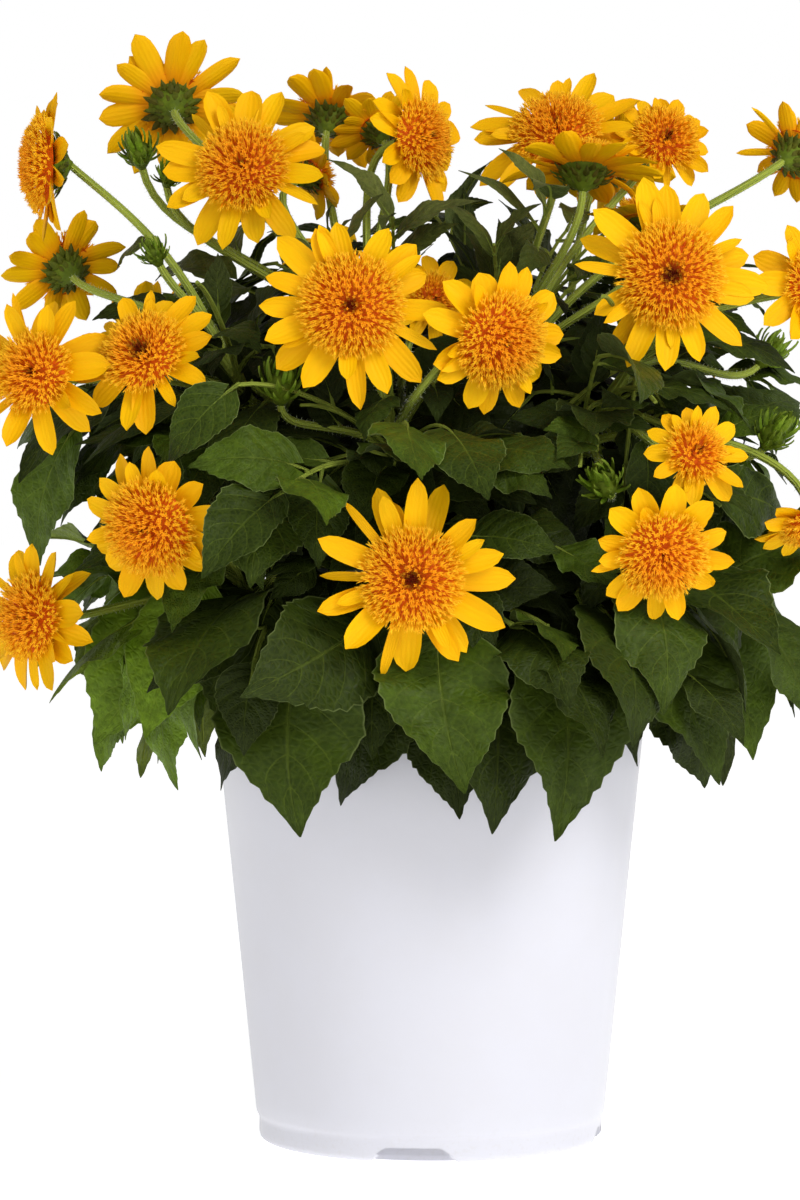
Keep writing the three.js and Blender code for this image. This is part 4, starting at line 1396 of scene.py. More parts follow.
@cache
def cup_material():
    """The green of cups, bracts and buds."""
    settings = bpy.context.scene.sunflower_bloom
    leaf = bpy.context.scene.sunflower_leaf
    finish = Finish("Bracts", Roughness=0.6, Specular_IOR_Level=0.12)
    tint = finish.attribute("tint")
    base = finish.mix(tint, paint(settings.cup), paint(leaf.pale))
    patches = finish.mottle(base, paint(leaf.dark), 160.0)
    tipped = finish.times(finish.span(finish.part(finish.own_map(), 1), 0.5, 1.0, 0.0, 0.8), tint)
    finish.colour(finish.mix(tipped, patches["Colour"], paint(leaf.vein)))
    finish.bump(patches["Mask"], 0.0003)
    return finish.material


@cache
def pot_material():
    """Smooth white plastic with a soft sheen, faint flow marks and a little dust low down."""
    settings = bpy.context.scene.sunflower_pot
    finish = Finish("Pot plastic", Coat_Weight=0.08)
    place = finish.object_place()
    height = finish.part(place, 2)
    patches = finish.mottle(paint(settings.colour), paint(settings.dust), 24.0, 0.05)
    ends = finish.maths("ADD", finish.span(height, 0.0, 0.03, 1.0, 0.0), finish.span(height, 0.235, 0.258))
    dusty = finish.times(ends, finish.span(finish.grain(place, 420.0, 3.0), 0.52, 0.7))
    finish.colour(finish.mix(finish.times(dusty, 0.12), patches["Colour"], paint(settings.dust)))
    flow = finish.grain(finish.vectors("MULTIPLY", place, (14.0, 14.0, 2.0)), 1.6, 4.0)
    finish.roughness(finish.span(flow, 0.3, 0.7, 0.3, 0.46))
    finish.bump(flow, 0.0008, 0.35)
    return finish.material


@cache
def soil_material():
    """Moist potting mix and the chips in it."""
    settings = bpy.context.scene.sunflower_pot
    finish = Finish("Potting mix", Roughness=0.9)
    patches = finish.mottle(paint(settings.soil), paint(settings.chips), 130.0, 0.6)
    finish.colour(finish.mix(finish.attribute("tint"), patches["Colour"], paint(settings.chips)))
    finish.bump(finish.grain(finish.object_place(), 500.0, 5.0), 0.0012)
    return finish.material


@cache
def floor_material():
    """The pale floor."""
    settings = bpy.context.scene.sunflower_stage
    finish = Finish(
        "Floor", Roughness=0.8, Emission_Color=paint(settings.floor), Emission_Strength=settings.glow)
    finish.colour(finish.mottle(paint(settings.floor), paint(settings.clouds), 2.0)["Colour"])
    return finish.material


# Pot and soil
def wall_radius(height):
    """Outer radius of the pot's wall at a height."""
    slope = (POT_TOP_RADIUS - POT_SHOULDER_RADIUS) / (POT_HEIGHT - POT_SHOULDER_HEIGHT)
    return POT_SHOULDER_RADIUS + (height - POT_SHOULDER_HEIGHT) * slope


def notch_height(turn):
    """How high the foot is cut away at a turn."""
    step = 360 / NOTCH_COUNT
    off = (turn - NOTCH_TURN + step / 2) % step - step / 2
    aside = abs(math.sin(math.radians(off))) * FOOT_RADIUS
    side = (NOTCH_BOTTOM / 2 - aside) / ((NOTCH_BOTTOM - NOTCH_TOP) / 2)
    return NOTCH_HEIGHT * min(max(side, 0.0), 1.0)


def pot_profile(rounding):
    """The pot's section as (radius, height, share of the notch that it follows)."""
    lip_foot = POT_HEIGHT - LIP_HEIGHT
    lip_radius = POT_TOP_RADIUS + LIP_OUT
    rows = [(4, 0, 0), (NOTCH_BACK_RADIUS - 0.4, 0, 0), (NOTCH_BACK_RADIUS, 0, 1)]
    for i in range(5):
        turn = math.radians(90 * i / 4)
        edge = FOOT_EDGE * 0.7
        rows.append((FOOT_RADIUS - edge + edge * math.sin(turn), edge - edge * math.cos(turn), 1))
    for height in (6, 8.5, 10.5):
        rows.append((FOOT_RADIUS, height, 0 if height > 8 else 0.4))
    rows += [(FOOT_RADIUS, FOOT_HEIGHT - rounding, 0), (FOOT_RADIUS + rounding * 0.3, FOOT_HEIGHT, 0)]
    rows.append((POT_SHOULDER_RADIUS - 1.6, FOOT_HEIGHT + 0.6, 0))
    rows.append((POT_SHOULDER_RADIUS - 0.8, FOOT_HEIGHT + 2.4, 0))
    for i in range(18):
        height = blend(POT_SHOULDER_HEIGHT, lip_foot, i / 17)
        rows.append((wall_radius(height), height, 0))
    rows += [(lip_radius - rounding, lip_foot, 0), (lip_radius, lip_foot + rounding, 0)]
    rows += [(lip_radius, POT_HEIGHT - rounding * 1.4, 0), (lip_radius - rounding, POT_HEIGHT, 0)]
    inner_radius = POT_TOP_RADIUS - POT_WALL
    rows += [(inner_radius + rounding, POT_HEIGHT, 0), (inner_radius, POT_HEIGHT - rounding, 0)]
    for i in range(6):
        height = blend(POT_HEIGHT - 4, POT_SHOULDER_HEIGHT, i / 5)
        rows.append((wall_radius(height) - POT_WALL, height, 0))
    rows += [(FOOT_INNER_RADIUS, FOOT_HEIGHT, 0), (FOOT_INNER_RADIUS, POT_FLOOR + 1, 0),
             (FOOT_INNER_RADIUS - 1, POT_FLOOR, 0), (4, POT_FLOOR, 0)]
    return rows


class SUNFLOWER_OT_pot(bpy.types.Operator):
    """Builds the plain white pot with its lip and notched foot."""

    bl_idname = "sunflower.pot"
    bl_label = "Pot"

    def execute(self, context):
        settings = context.scene.sunflower_pot
        rows = pot_profile(settings.rounding / MM)
        shares = {(radius, height): share for radius, height, share in rows}

        def place(turn, radius, height):
            notch = notch_height(turn)
            share = shares[(radius, height)]
            if share and notch > 0.01:
                kept = height * (1 - notch / NOTCH_FADE)
                height = max(kept, notch * share + kept * NOTCH_FOLLOW)
            return place_at(turn, radius, height)

        shape = Shape()
        add_turned(shape, [(radius, height) for radius, height, _ in rows], 240, place)
        piece = shape.make("pot_body", pot_material())
        seat(piece, "pot_plastic", "pot")
        return {"FINISHED"}


class SUNFLOWER_OT_soil(bpy.types.Operator):
    """Builds the potting mix with its uneven top, crumbs and bark chips."""

    bl_idname = "sunflower.soil"
    bl_label = "Potting mix"

    def execute(self, context):
        settings = context.scene.sunflower_pot
        gap = POT_WALL + 2 * SEAT
        top_radius = wall_radius(SOIL_TOP) - gap

        def uneven(point):
            coarse = noise.noise(Vector((point.x, point.y, 3)) / 14)
            return 0.9 * (coarse + 0.5 * noise.noise(Vector((point.x, point.y, 9)) / 5))

        def place(turn, radius, height):
            point = place_at(turn, radius, height)
            if height >= SOIL_TOP:
                point.z += uneven(point) - 1.0
            return point

        profile = [(2, POT_FLOOR + SEAT), (FOOT_INNER_RADIUS - 1.5, POT_FLOOR + SEAT)]
        profile += [(FOOT_INNER_RADIUS - SEAT, FOOT_HEIGHT + SEAT), (FOOT_RADIUS - gap, FOOT_HEIGHT + SEAT)]
        profile.append((POT_SHOULDER_RADIUS - gap, POT_SHOULDER_HEIGHT))
        profile += [(blend(top_radius, 2, (i / 24) ** 0.9), SOIL_TOP) for i in range(25)]
        shape = Shape()
        add_turned(shape, profile, 120, place, 0.0)
        seat(shape.make("soil_body", soil_material()), "potting_mix", "potting_soil")
        spots = Spots()
        for i in range(settings.crumb_count):
            radius = (top_radius - 3) * math.sqrt((i + 0.5) / settings.crumb_count)
            point = place_at(i * GOLDEN_ANGLE, radius, SOIL_TOP)
            point.z += uneven(point) - 0.8
            size = between(*CRUMB_SIZES, i, 82) * (1.8 if chance(i, 83) > 0.93 else 1.0)
            out = (swing(0.5, i, 84), swing(0.5, i, 85), 1)
            spots.add(point, out, (0, 1, 0), size, 0.9 if chance(i, 86) > 0.7 else 0.1)
        crumb = crumb_template()
        crumbs = spots.plant("soil_crumbs", crumb, soil_material(), Size=MM, Spin=math.pi, Lean=0.3, Seed=5)
        seat(crumbs, "potting_mix")
        remove(crumb)
        return {"FINISHED"}


# Main stem, boughs and twigs
def stem_radius(height):
    """Radius of the main stem at a height, with a swelling where each bough leaves it."""
    levels, _, _, radii = zip(*STEM_RINGS)
    radius = float(np.interp(height, levels, radii))
    swell = sum(math.exp(-((height - row[4]) / 5.0) ** 2) for row in MASSES)
    return radius * (1 + 0.07 * min(swell, 1.5))


class SUNFLOWER_OT_stem(bpy.types.Operator):
    """Builds the main stem and the boughs, ribbed and swollen at their joints."""

    bl_idname = "sunflower.stem"
    bl_label = "Main stem and boughs"

    def execute(self, context):
        plant = grown_plant()
        shape = Shape()
        levels = np.linspace(STEM_RINGS[0][0], STEM_RINGS[-1][0], 60)

        def place(turn, radius, height):
            angle = math.radians(turn)
            rib = 1 + 0.035 * math.cos(7 * angle + height / 30)
            rib += 0.02 * noise.noise(Vector((turn / 20, height / 9, 1)))
            flare = 1 + 0.16 * math.cos(4 * angle + 1) * max(0.0, 1 - (height - SOIL_TOP) / 12)
            reach = radius * rib * flare
            return stem_point(height) + Vector((math.cos(angle) * reach, math.sin(angle) * reach, 0))

        add_turned(shape, [(stem_radius(level), level) for level in levels], 28, place, 0.25)
        seat(shape.make("stem_body", stem_material()), "green_stem", "main_stem")
        boughs = Shape()
        nodes = []
        for mass in plant.masses:
            if mass.name != STEM_BORNE:
                nodes.append("bough_" + mass.name)
                curve = bough_curve(mass)
                clear = stem_radius(mass.root.z) * 0.8 / curve.length
                shares = np.linspace(clear, 1.0, 22)
                swell = 1 + 0.3 * np.exp(-((shares - clear) * curve.length / 5) ** 2)
                radii = blend(BOUGH_RADIUS, BOUGH_TIP_RADIUS, shares) * swell
                add_tube(boughs, curve.stations(clear, 1.0, 22), radii, 14, 0.45, 0.035)
        seat(boughs.make("boughs", stem_material()), "green_stem", *nodes)
        return {"FINISHED"}


class SUNFLOWER_OT_twigs(bpy.types.Operator):
    """Builds the stems of the masses, the stalks and shoots, and the hairs on them."""

    bl_idname = "sunflower.twigs"
    bl_label = "Stalks and shoots"

    def execute(self, context):
        settings = context.scene.sunflower_stem
        plant = grown_plant()
        shape = Shape()
        hairs = Spots()
        for mass in plant.masses:
            radii = np.linspace(BOUGH_TIP_RADIUS, STALK_RADIUS, 18)
            add_tube(shape, mass.stem.stations(0.0, 1.0, 18), radii, 10, 0.5, 0.04)
        for row, branch in enumerate(plant.branches):
            stalk = branch.kind == "stalk"
            steps, sides, tint = (22, 8, 0.95) if stalk else (12, 6, 0.6)
            swell = 1 + 0.35 * np.exp(-np.linspace(0.0, branch.curve.length, steps) / 4)
            radii = np.linspace(branch.radius, branch.tip_radius, steps) * swell
            add_tube(shape, branch.curve.stations(0.0, 1.0, steps), radii, sides, tint, 0.03)
            if stalk:
                self.add_hairs(hairs, branch, row, settings)
        seat(shape.make("twigs", stem_material()), "green_stem")
        hair = hair_template()
        piece = hairs.plant(
            "stalk_hairs", hair, hair_material(), Size=settings.hair_length, **{"Size spread": 0.4},
            Spin=math.pi, Lean=0.35, Seed=11)
        seat(piece, "green_stem")
        remove(hair)
        return {"FINISHED"}

    @staticmethod
    def add_hairs(hairs, branch, row, settings):
        """Adds points for hairs all round a stalk."""
        count = int(branch.curve.length * MM / settings.hair_spacing)
        for i in range(count):
            share = (i + 0.5) / count
            along = branch.curve.tangent(share)
            out = Quaternion(along, math.radians(i * GOLDEN_ANGLE)) @ crosswise(along)
            radius = blend(branch.radius, branch.tip_radius, share) * 0.97
            root = branch.curve.point(share) + out * radius
            hairs.add(root, out + along * 0.25, along, 1.0, chance(i, row))


# Leaves
def twisted(side, normal, turn, share):
    """The sides and normals of a blade that twists by this turn, in degrees, up to its tip."""
    twist = math.radians(turn) * share[:, None]
    sides = np.cos(twist) * side + np.sin(twist) * normal
    return sides, np.cos(twist) * normal - np.sin(twist) * side


def leaf_surface(leaf, order):
    """The upper surface of a leaf's blade, and the normals there."""
    share = np.linspace(0.0, 1.0, LEAF_ROWS)
    bend = math.radians(leaf.droop) * (PETIOLE_SHARE + (1 - PETIOLE_SHARE) * share[:, None])
    reach = leaf.length / math.radians(leaf.droop)
    along, face, side = (np.array(axis) for axis in (leaf.along, leaf.face, leaf.side))
    sweep = swing(LEAF_SWEEP, order, 11) * leaf.length * share[:, None] ** 2
    spine = np.array(leaf.base) + reach * (np.sin(bend) * along - (1 - np.cos(bend)) * face) + sweep * side
    tangent = np.cos(bend) * along - np.sin(bend) * face
    normal = np.sin(bend) * along + np.cos(bend) * face
    sides, normals = twisted(side, normal, swing(LEAF_TWIST, order, 12), share)
    half = np.interp(share, *zip(*LEAF_OUTLINE)) * leaf.width / 2
    heart = LEAF_HEART * leaf.length * np.clip(1 - share / 0.2, 0, 1) ** 2
    depths = [between(0.1, 1.0, order, 200 + row) ** 1.5 for row in range(LEAF_ROWS)]
    ways = np.where(np.arange(LEAF_ROWS) % 2 == 1, 1.0, -1.0)
    tooth = np.where((share > 0.02) & (share < 0.97), ways, 0.0) * np.array(depths)
    fold = between(*LEAF_FOLD, order, 13)
    wave = between(*LEAF_WAVE, order, 14)
    ripples = 2 * math.pi * between(*LEAF_RIPPLES, order, 15) * share
    start = 2 * math.pi * chance(order, 16)
    points = np.empty((LEAF_ROWS, LEAF_COLUMNS, 3))
    for column, place in enumerate(np.linspace(-1.0, 1.0, LEAF_COLUMNS)):
        edge = abs(place)
        jag = tooth if edge == 1 else 0.0 * tooth
        phase = start + (math.pi * 0.7 if place > 0 else 0)
        aside = place * half * (1 + TOOTH_DEPTH * jag)
        lift = half * (fold * edge - 0.1 * edge ** 2 + wave * edge ** 2 * np.sin(ripples + phase))
        shift = TOOTH_LEAN * leaf.length * jag - heart * edge ** 1.5
        moved = aside[:, None] * sides + lift[:, None] * normals + shift[:, None] * tangent
        points[:, column] = spine + moved
    return points, np.repeat(normals[:, None, :], LEAF_COLUMNS, axis=1)


def leaf_proxy(leaf, order):
    """The points of a coarse, slimmer copy of a leaf, and its tree for finding what it touches."""
    rows = leaf_surface(leaf, order)[0][::PROXY_STEP]
    middle = rows[:, LEAF_COLUMNS // 2]
    sides = [middle + (rows[:, column] - middle) * PROXY_WIDTH for column in (0, -1)]
    points = np.stack([sides[0], middle, sides[1]], axis=1).reshape(-1, 3)
    faces = []
    for row in range(0, len(points) - 3, 3):
        faces += [(row, row + 1, row + 4, row + 3), (row + 1, row + 2, row + 5, row + 4)]
    return points, BVHTree.FromPolygons([tuple(point) for point in points], faces)


def add_view(shape, stations, side, ahead):
    """Adds two strips from a limb forward, or outward at the back, which keep the view of it free."""
    strip = [(i, i + 1, i + len(stations) + 1, i + len(stations)) for i in range(len(stations) - 1)]
    out = facing(0, 0) if stations[-1].y < STALK_CLEAR_BACK else outward(stations[-1])
    for hand in (-side, side):
        near = [point + Vector((out.y, -out.x, 0.0)) * hand for point in stations]
        far = [point + out * ahead for point in near]
        shape.add(near + far, strip, [(0, 0)] * 2 * len(near))


def limb_tree(plant):
    """The pot, soil, stems, boughs, blooms and twigs, which no leaf may touch."""
    points = []
    faces = []
    for name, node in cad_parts.items():
        if not name.startswith("foliage_"):
            first = len(points)
            points.extend(tuple(vertex.co / MM) for vertex in node.data.vertices)
            faces.extend(tuple(first + i for i in face.vertices) for face in node.data.polygons)
    shape = Shape()
    limbs = [(mass.stem, 3.0) for mass in plant.masses]
    limbs += [(branch.curve, branch.radius) for branch in plant.branches]
    for curve, radius in limbs:
        add_tube(shape, curve.stations(0.0, 1.0, 7), [radius] * 7, 3)
    for branch in plant.branches:
        if branch.kind == "stalk":
            stations = branch.curve.stations(branch.clear_from, 1.0, 6)
            add_view(shape, stations, STALK_CLEAR_SIDE, STALK_CLEAR_FRONT)
    for centre, radius, _ in plant.buds:
        add_view(shape, [centre - UP * radius, centre, centre + UP * 2 * radius], radius, STALK_CLEAR_FRONT)
    first = len(points)
    points.extend(tuple(point) for point in np.concatenate(shape.points))
    faces.extend(tuple(first + i for i in face) for face in shape.faces)
    return BVHTree.FromPolygons(points, faces)


def leaf_places(plant, spacing):
    """Places for leaves, from the tips of the twigs and from high on the stalks inwards."""
    places = []
    for row, branch in enumerate(plant.branches):
        if branch.kind == "twig":
            continue
        stalk = branch.kind == "stalk"
        length = branch.curve.length
        step = spacing * (STALK_LEAF_GAP if stalk else 1.0)
        size = STALK_LEAF_SIZE if stalk else 1.0
        if not stalk:
            places.append((0, branch, (branch.curve, 0.99, row * 7, 1.0, 1.0)))
        for i in range(1, int(LEAFY_SHARE * length / step) + 1):
            share = (STALK_LEAF_FROM if stalk else 1.0) - i * step / length
            if share > LOWEST_LEAF:
                place = (branch.curve, share, row * 7 + i, LEAF_AHEAD, size)
                places.append((i + (0.5 if stalk else 0), branch, place))
    return sorted(places, key=lambda row: row[0])


def grow_leaves(plant, spacing, tries):
    """The leaves that find a place: within the crown and their mass's space, and free of the rest."""
    limbs = limb_tree(plant)
    taken = [
        (leaf.midrib(0.5), leaf.length, leaf_proxy(leaf, order)[1])
        for order, leaf in enumerate(plant.hanging)]
    leaves = []
    for _, branch, place in leaf_places(plant, spacing):
        for attempt in range(tries):
            leaf = leaf_at(place, attempt)
            middle = leaf.midrib(0.5)
            fits = all(
                math.hypot(point.x, point.y) < crown_reach(point.z)
                and in_space(plant.masses, branch.mass, point, SPACE_OVERRUN) for point in leaf.corners())
            if not fits:
                continue
            near = [row for row in taken if (row[0] - middle).length < 0.6 * (row[1] + leaf.length)]
            if any((row[0] - middle).length < 0.08 * (row[1] + leaf.length) for row in near):
                continue
            points, proxy = leaf_proxy(leaf, len(taken))
            if not all(clear_of_blooms(plant.blooms, Vector(point), LEAF_COVER) for point in points):
                continue
            if proxy.overlap(limbs) or any(proxy.overlap(row[2]) for row in near):
                continue
            taken.append((middle, leaf.length, proxy))
            leaves.append(leaf)
            break
    return leaves


def leaf_tint(leaf, order):
    """How fresh a leaf is: fresher low at the left, at the right edge and near the top."""
    fresh = 0.04 + 0.5 * chance(order, 17) ** 3
    if leaf.base.z < FRESH_LOW_LEFT[0] and leaf.base.x < FRESH_LOW_LEFT[1]:
        fresh += 0.8
    if leaf.base.x > FRESH_RIGHT:
        fresh += 0.35
    return min(fresh + 0.18 * smooth(*FRESH_TOP, leaf.base.z), 1.0)


def leaf_shade(leaf):
    """How far out a leaf lies, 0 deep inside the crown and 1 at its surface, which sets its painted shade."""
    middle = leaf.midrib(0.5)
    out = smooth(0.38, 0.8, math.hypot(middle.x, middle.y) / max(crown_reach(middle.z), 1.0))
    return max(out, 0.85 * smooth(445, 500, middle.z))


def add_leaf(shape, leaf, order):
    """Adds a leaf's blade with its stalk and midrib."""
    surface, normals = leaf_surface(leaf, order)
    tint = leaf_tint(leaf, order)
    # The leaf's painted shade: darker at random, and more painted shade where it starts low over the rim
    lit = 1.0
    if tint < 0.8:
        lit = between(0.6, 1.0, order, 18) * blend(0.5, 1.0, smooth(*RIM_SHADE, leaf.base.z))
    add_blade(shape, surface, normals, LEAF_THICKNESS, tint, leaf_shade(leaf) * lit)
    middle = LEAF_COLUMNS // 2
    spine = [leaf.midrib(share) for share in np.linspace(0, PETIOLE_SHARE, 5)[:-1]]
    spine[0] = spine[0] - leaf.along * 1.5
    rows = range(0, LEAF_ROWS - 3, 3)
    spine += [Vector(surface[row, middle] - normals[row, middle] * MIDRIB_DROP) for row in rows]
    radii = list(np.linspace(1.25, 0.95, 4)) + list(np.linspace(0.85, 0.25, len(rows)))
    add_tube(shape, spine, radii, 5, tint, fill=2)


class SUNFLOWER_OT_leaves(bpy.types.Operator):
    """Grows the leaves of all masses in their own outline."""

    bl_idname = "sunflower.leaves"
    bl_label = "Leaves"

    def execute(self, context):
        settings = context.scene.sunflower_leaf
        plant = grown_plant()
        leaves = plant.hanging + grow_leaves(plant, settings.spacing / MM, settings.tries)
        groups = {}
        for mass in plant.masses:
            nodes, _ = groups.setdefault(self.group_of(mass), ([], Shape()))
            nodes.append("foliage_" + mass.name)
        for order, leaf in enumerate(leaves):
            _, shape = groups[self.group_of(nearest_mass(plant.masses, leaf.base))]
            add_leaf(shape, leaf, order)
        for group, (nodes, shape) in groups.items():
            piece = shape.make("leaves_" + group, leaf_material(False), leaf_material(True), stem_material())
            seat(piece, "foliage", *nodes)
        return {"FINISHED"}

    @staticmethod
    def group_of(mass):
        """The group of a mass by its level, and whether it is at the back."""
        return mass.name[:3] + ("_back" if "back" in mass.name else "")


# Blooms and buds
def dome_height(share, disc):
    """Height of a disc's dome at a share of its radius: a cushion with a nearly flat top."""
    return disc * (0.2 + 0.27 * (1 - share ** 2.6))


def disc_opened(bloom, share):
    """How far the florets are open at a share of a disc's radius: 0 in its dark middle."""
    return smooth(0.0, 0.15 + 0.5 * bloom.dark, share)


def add_ray(shape, bloom, order, turn, whorl, width):
    """Adds one ray: a thin grooved blade that spreads from the rim of the disc."""
    start = whorl["start"] * bloom.disc
    length = bloom.reach * between(*whorl["reach"], order, 27) - start
    width *= between(*whorl["width"], order, 28)
    share = np.linspace(0.0, 1.0, RAY_ROWS)
    out, axis = np.array(bloom.level(turn)), np.array(bloom.axis)
    swerve = math.radians(swing(RAY_SWERVE, order, 21))
    lead = out * math.cos(swerve) + np.cross(out, axis) * math.sin(swerve)
    side = np.cross(lead, axis)
    lift = math.radians(between(*whorl["lift"], order, 29))
    angle = lift + math.radians(between(*RAY_CURL, order, 22)) * share[:, None]
    heading = np.cos(angle) * lead + np.sin(angle) * axis
    steps = np.concatenate([[0.0], np.diff(share)])[:, None] * length
    spine = np.array(bloom.at(turn, start, 0.02 * bloom.disc)) + np.cumsum(heading * steps, axis=0)
    normal = np.cos(angle) * axis - np.sin(angle) * lead
    sides, normals = twisted(side, normal, swing(RAY_TWIST, order, 23), share)
    half = width / 2 * np.interp(share, *zip(*RAY_OUTLINE))
    cupped = between(*RAY_CUPPED, order, 24)
    points = np.empty((RAY_ROWS, RAY_COLUMNS, 3))
    for column, place in enumerate(np.linspace(-1.0, 1.0, RAY_COLUMNS)):
        groove = RAY_GROOVE * (1 - abs(abs(place) - 0.5) * 2)
        lifted = half * (cupped * place ** 2 - groove)
        points[:, column] = spine + (place * half)[:, None] * sides + lifted[:, None] * normals
    if chance(order, 25) > 0.75:
        points[-1, RAY_COLUMNS // 2] -= lead * 0.07 * length
    normals = np.repeat(normals[:, None, :], RAY_COLUMNS, axis=1)
    add_blade(shape, points, normals, RAY_THICKNESS, chance(order, 30))


def add_rays(shape, bloom, width):
    """Adds the rays of a bloom: an outer whorl, and shorter ones between and in front of it."""
    outline = 2 * math.pi * blend(bloom.disc, bloom.reach, 0.4)
    count = max(9, round(outline / (width * 1.02)))
    for whorl in (OUTER_RAYS, INNER_RAYS):
        for i in range(count if whorl is OUTER_RAYS else count // 4 + 1):
            order = bloom.order * 60 + whorl["first"] + i
            place = i * whorl["step"] + whorl["offset"] + swing(whorl["swing"], order, 26)
            slim = SLIM_RAY if chance(order, 35) > 1 - whorl["slim_share"] else 1.0
            add_ray(shape, bloom, order, 360 * place / count, whorl, slim * width)


def add_florets(spots, bloom, spacing, length):
    """Adds points for the florets in golden angles over a bloom's dome."""
    count = int(1.15 * (bloom.disc / spacing) ** 2 * math.pi)
    for i in range(count):
        share = math.sqrt((i + 0.5) / count)
        turn = i * GOLDEN_ANGLE
        height = dome_height(share, bloom.disc)
        tilt = math.radians(8 + 70 * share ** 1.7)
        out = bloom.level(turn) * math.sin(tilt) + bloom.axis * math.cos(tilt)
        opened = disc_opened(bloom, share)
        grown = blend(0.8, 1.0, opened) * blend(1.0, 0.9, share)
        place = bloom.at(turn, bloom.disc * 0.96 * share, height)
        shade = blend(0.02, 0.5, opened) + 0.5 * smooth(0.3, 1.0, share)
        sunk = blend(0.68, 0.45, opened) - 0.12 * chance(i, bloom.order)
        seated = place - out * sunk * length
        spots.add(seated, out, bloom.across, grown, chance(i, 90 + bloom.order), shade)


def add_cup(shape, spots, bloom):
    """Adds the green cup under a bloom and points for its bracts."""
    profile = [(STALK_TIP_RADIUS, -CUP_DEPTH - 1.5), (STALK_TIP_RADIUS * 1.5, -CUP_DEPTH)]
    profile += [(0.36 * bloom.disc, -0.72 * CUP_DEPTH), (0.5 * bloom.disc, -0.4 * CUP_DEPTH)]
    profile += [(0.55 * bloom.disc, -1.5), (0.62 * bloom.disc, 0.02 * bloom.disc)]
    add_turned(shape, profile, 18, bloom.at)
    for tier, (radius, height, tilt, size) in enumerate(CUP_TIERS):
        count = 11 + 2 * tier
        size *= blend(0.5, 1.0, min(bloom.disc / 26, 1.0))
        for i in range(count):
            order = bloom.order * 100 + tier * 30 + i
            turn = 360 * (i + 0.5 * (tier % 2) + swing(0.2, order, 31)) / count
            lean = math.radians(tilt + swing(8, order, 32))
            out = bloom.level(turn) * math.cos(lean) + bloom.axis * math.sin(lean) * 0.5
            face = bloom.level(turn) * math.sin(lean) - bloom.axis * math.cos(lean)
            start = bloom.at(turn, radius * bloom.disc, height * CUP_DEPTH)
            grown = size * between(0.8, 1.15, order, 33)
            spots.add(start, out.normalized(), face, grown, 0.3 * chance(order, 34))


def add_bud(shape, spots, order, centre, radius, axis):
    """Adds a bud: a small globe wrapped in pointed bracts."""
    head = Head(centre, axis, crosswise(axis))
    profile = [(STALK_TIP_RADIUS, -1.15 * radius)]
    for angle in (40, 70, 100, 130, 160):
        rise = math.radians(angle)
        profile.append((0.92 * radius * math.sin(rise), -0.95 * radius * math.cos(rise)))
    add_turned(shape, profile, 14, head.at)
    for tier, (angle, tilt, size) in enumerate(BUD_TIERS):
        count = 10 - tier
        rise = math.radians(angle)
        for i in range(count):
            row = order * 50 + tier * 12 + i
            turn = 360 * (i + 0.5 * (tier % 2) + swing(0.2, row, 41)) / count
            lean = math.radians(tilt + swing(10, row, 42))
            out = head.level(turn) * math.cos(lean) + axis * math.sin(lean)
            face = head.level(turn) * math.sin(lean) - axis * math.cos(lean)
            start = head.at(turn, radius * 0.85 * math.sin(rise), -radius * math.cos(rise))
            grown = size * radius / 7.5 * between(0.9, 1.3, row, 43)
            spots.add(start, out, face, grown, 0.5 + 0.5 * chance(row, 44))


def add_dome(shape, bloom):
    """Adds the dome on which a bloom's florets stand."""
    segments = 18
    shares = [1.0, 0.85, 0.7, 0.55, 0.4, 0.28, 0.18, 0.1, 0.04]
    profile = [(0.84 * bloom.disc, 0.08 * bloom.disc)]
    shades = [0.5]
    for share in shares:
        opened = disc_opened(bloom, share)
        profile.append((0.86 * bloom.disc * share, dome_height(share, bloom.disc) - blend(6.5, 3.2, opened)))
        shades.append(blend(0.02, 0.4, opened))
    add_turned(shape, profile, segments, bloom.at)
    shape.shades[-segments * len(profile):] = np.repeat(shades, segments).tolist()


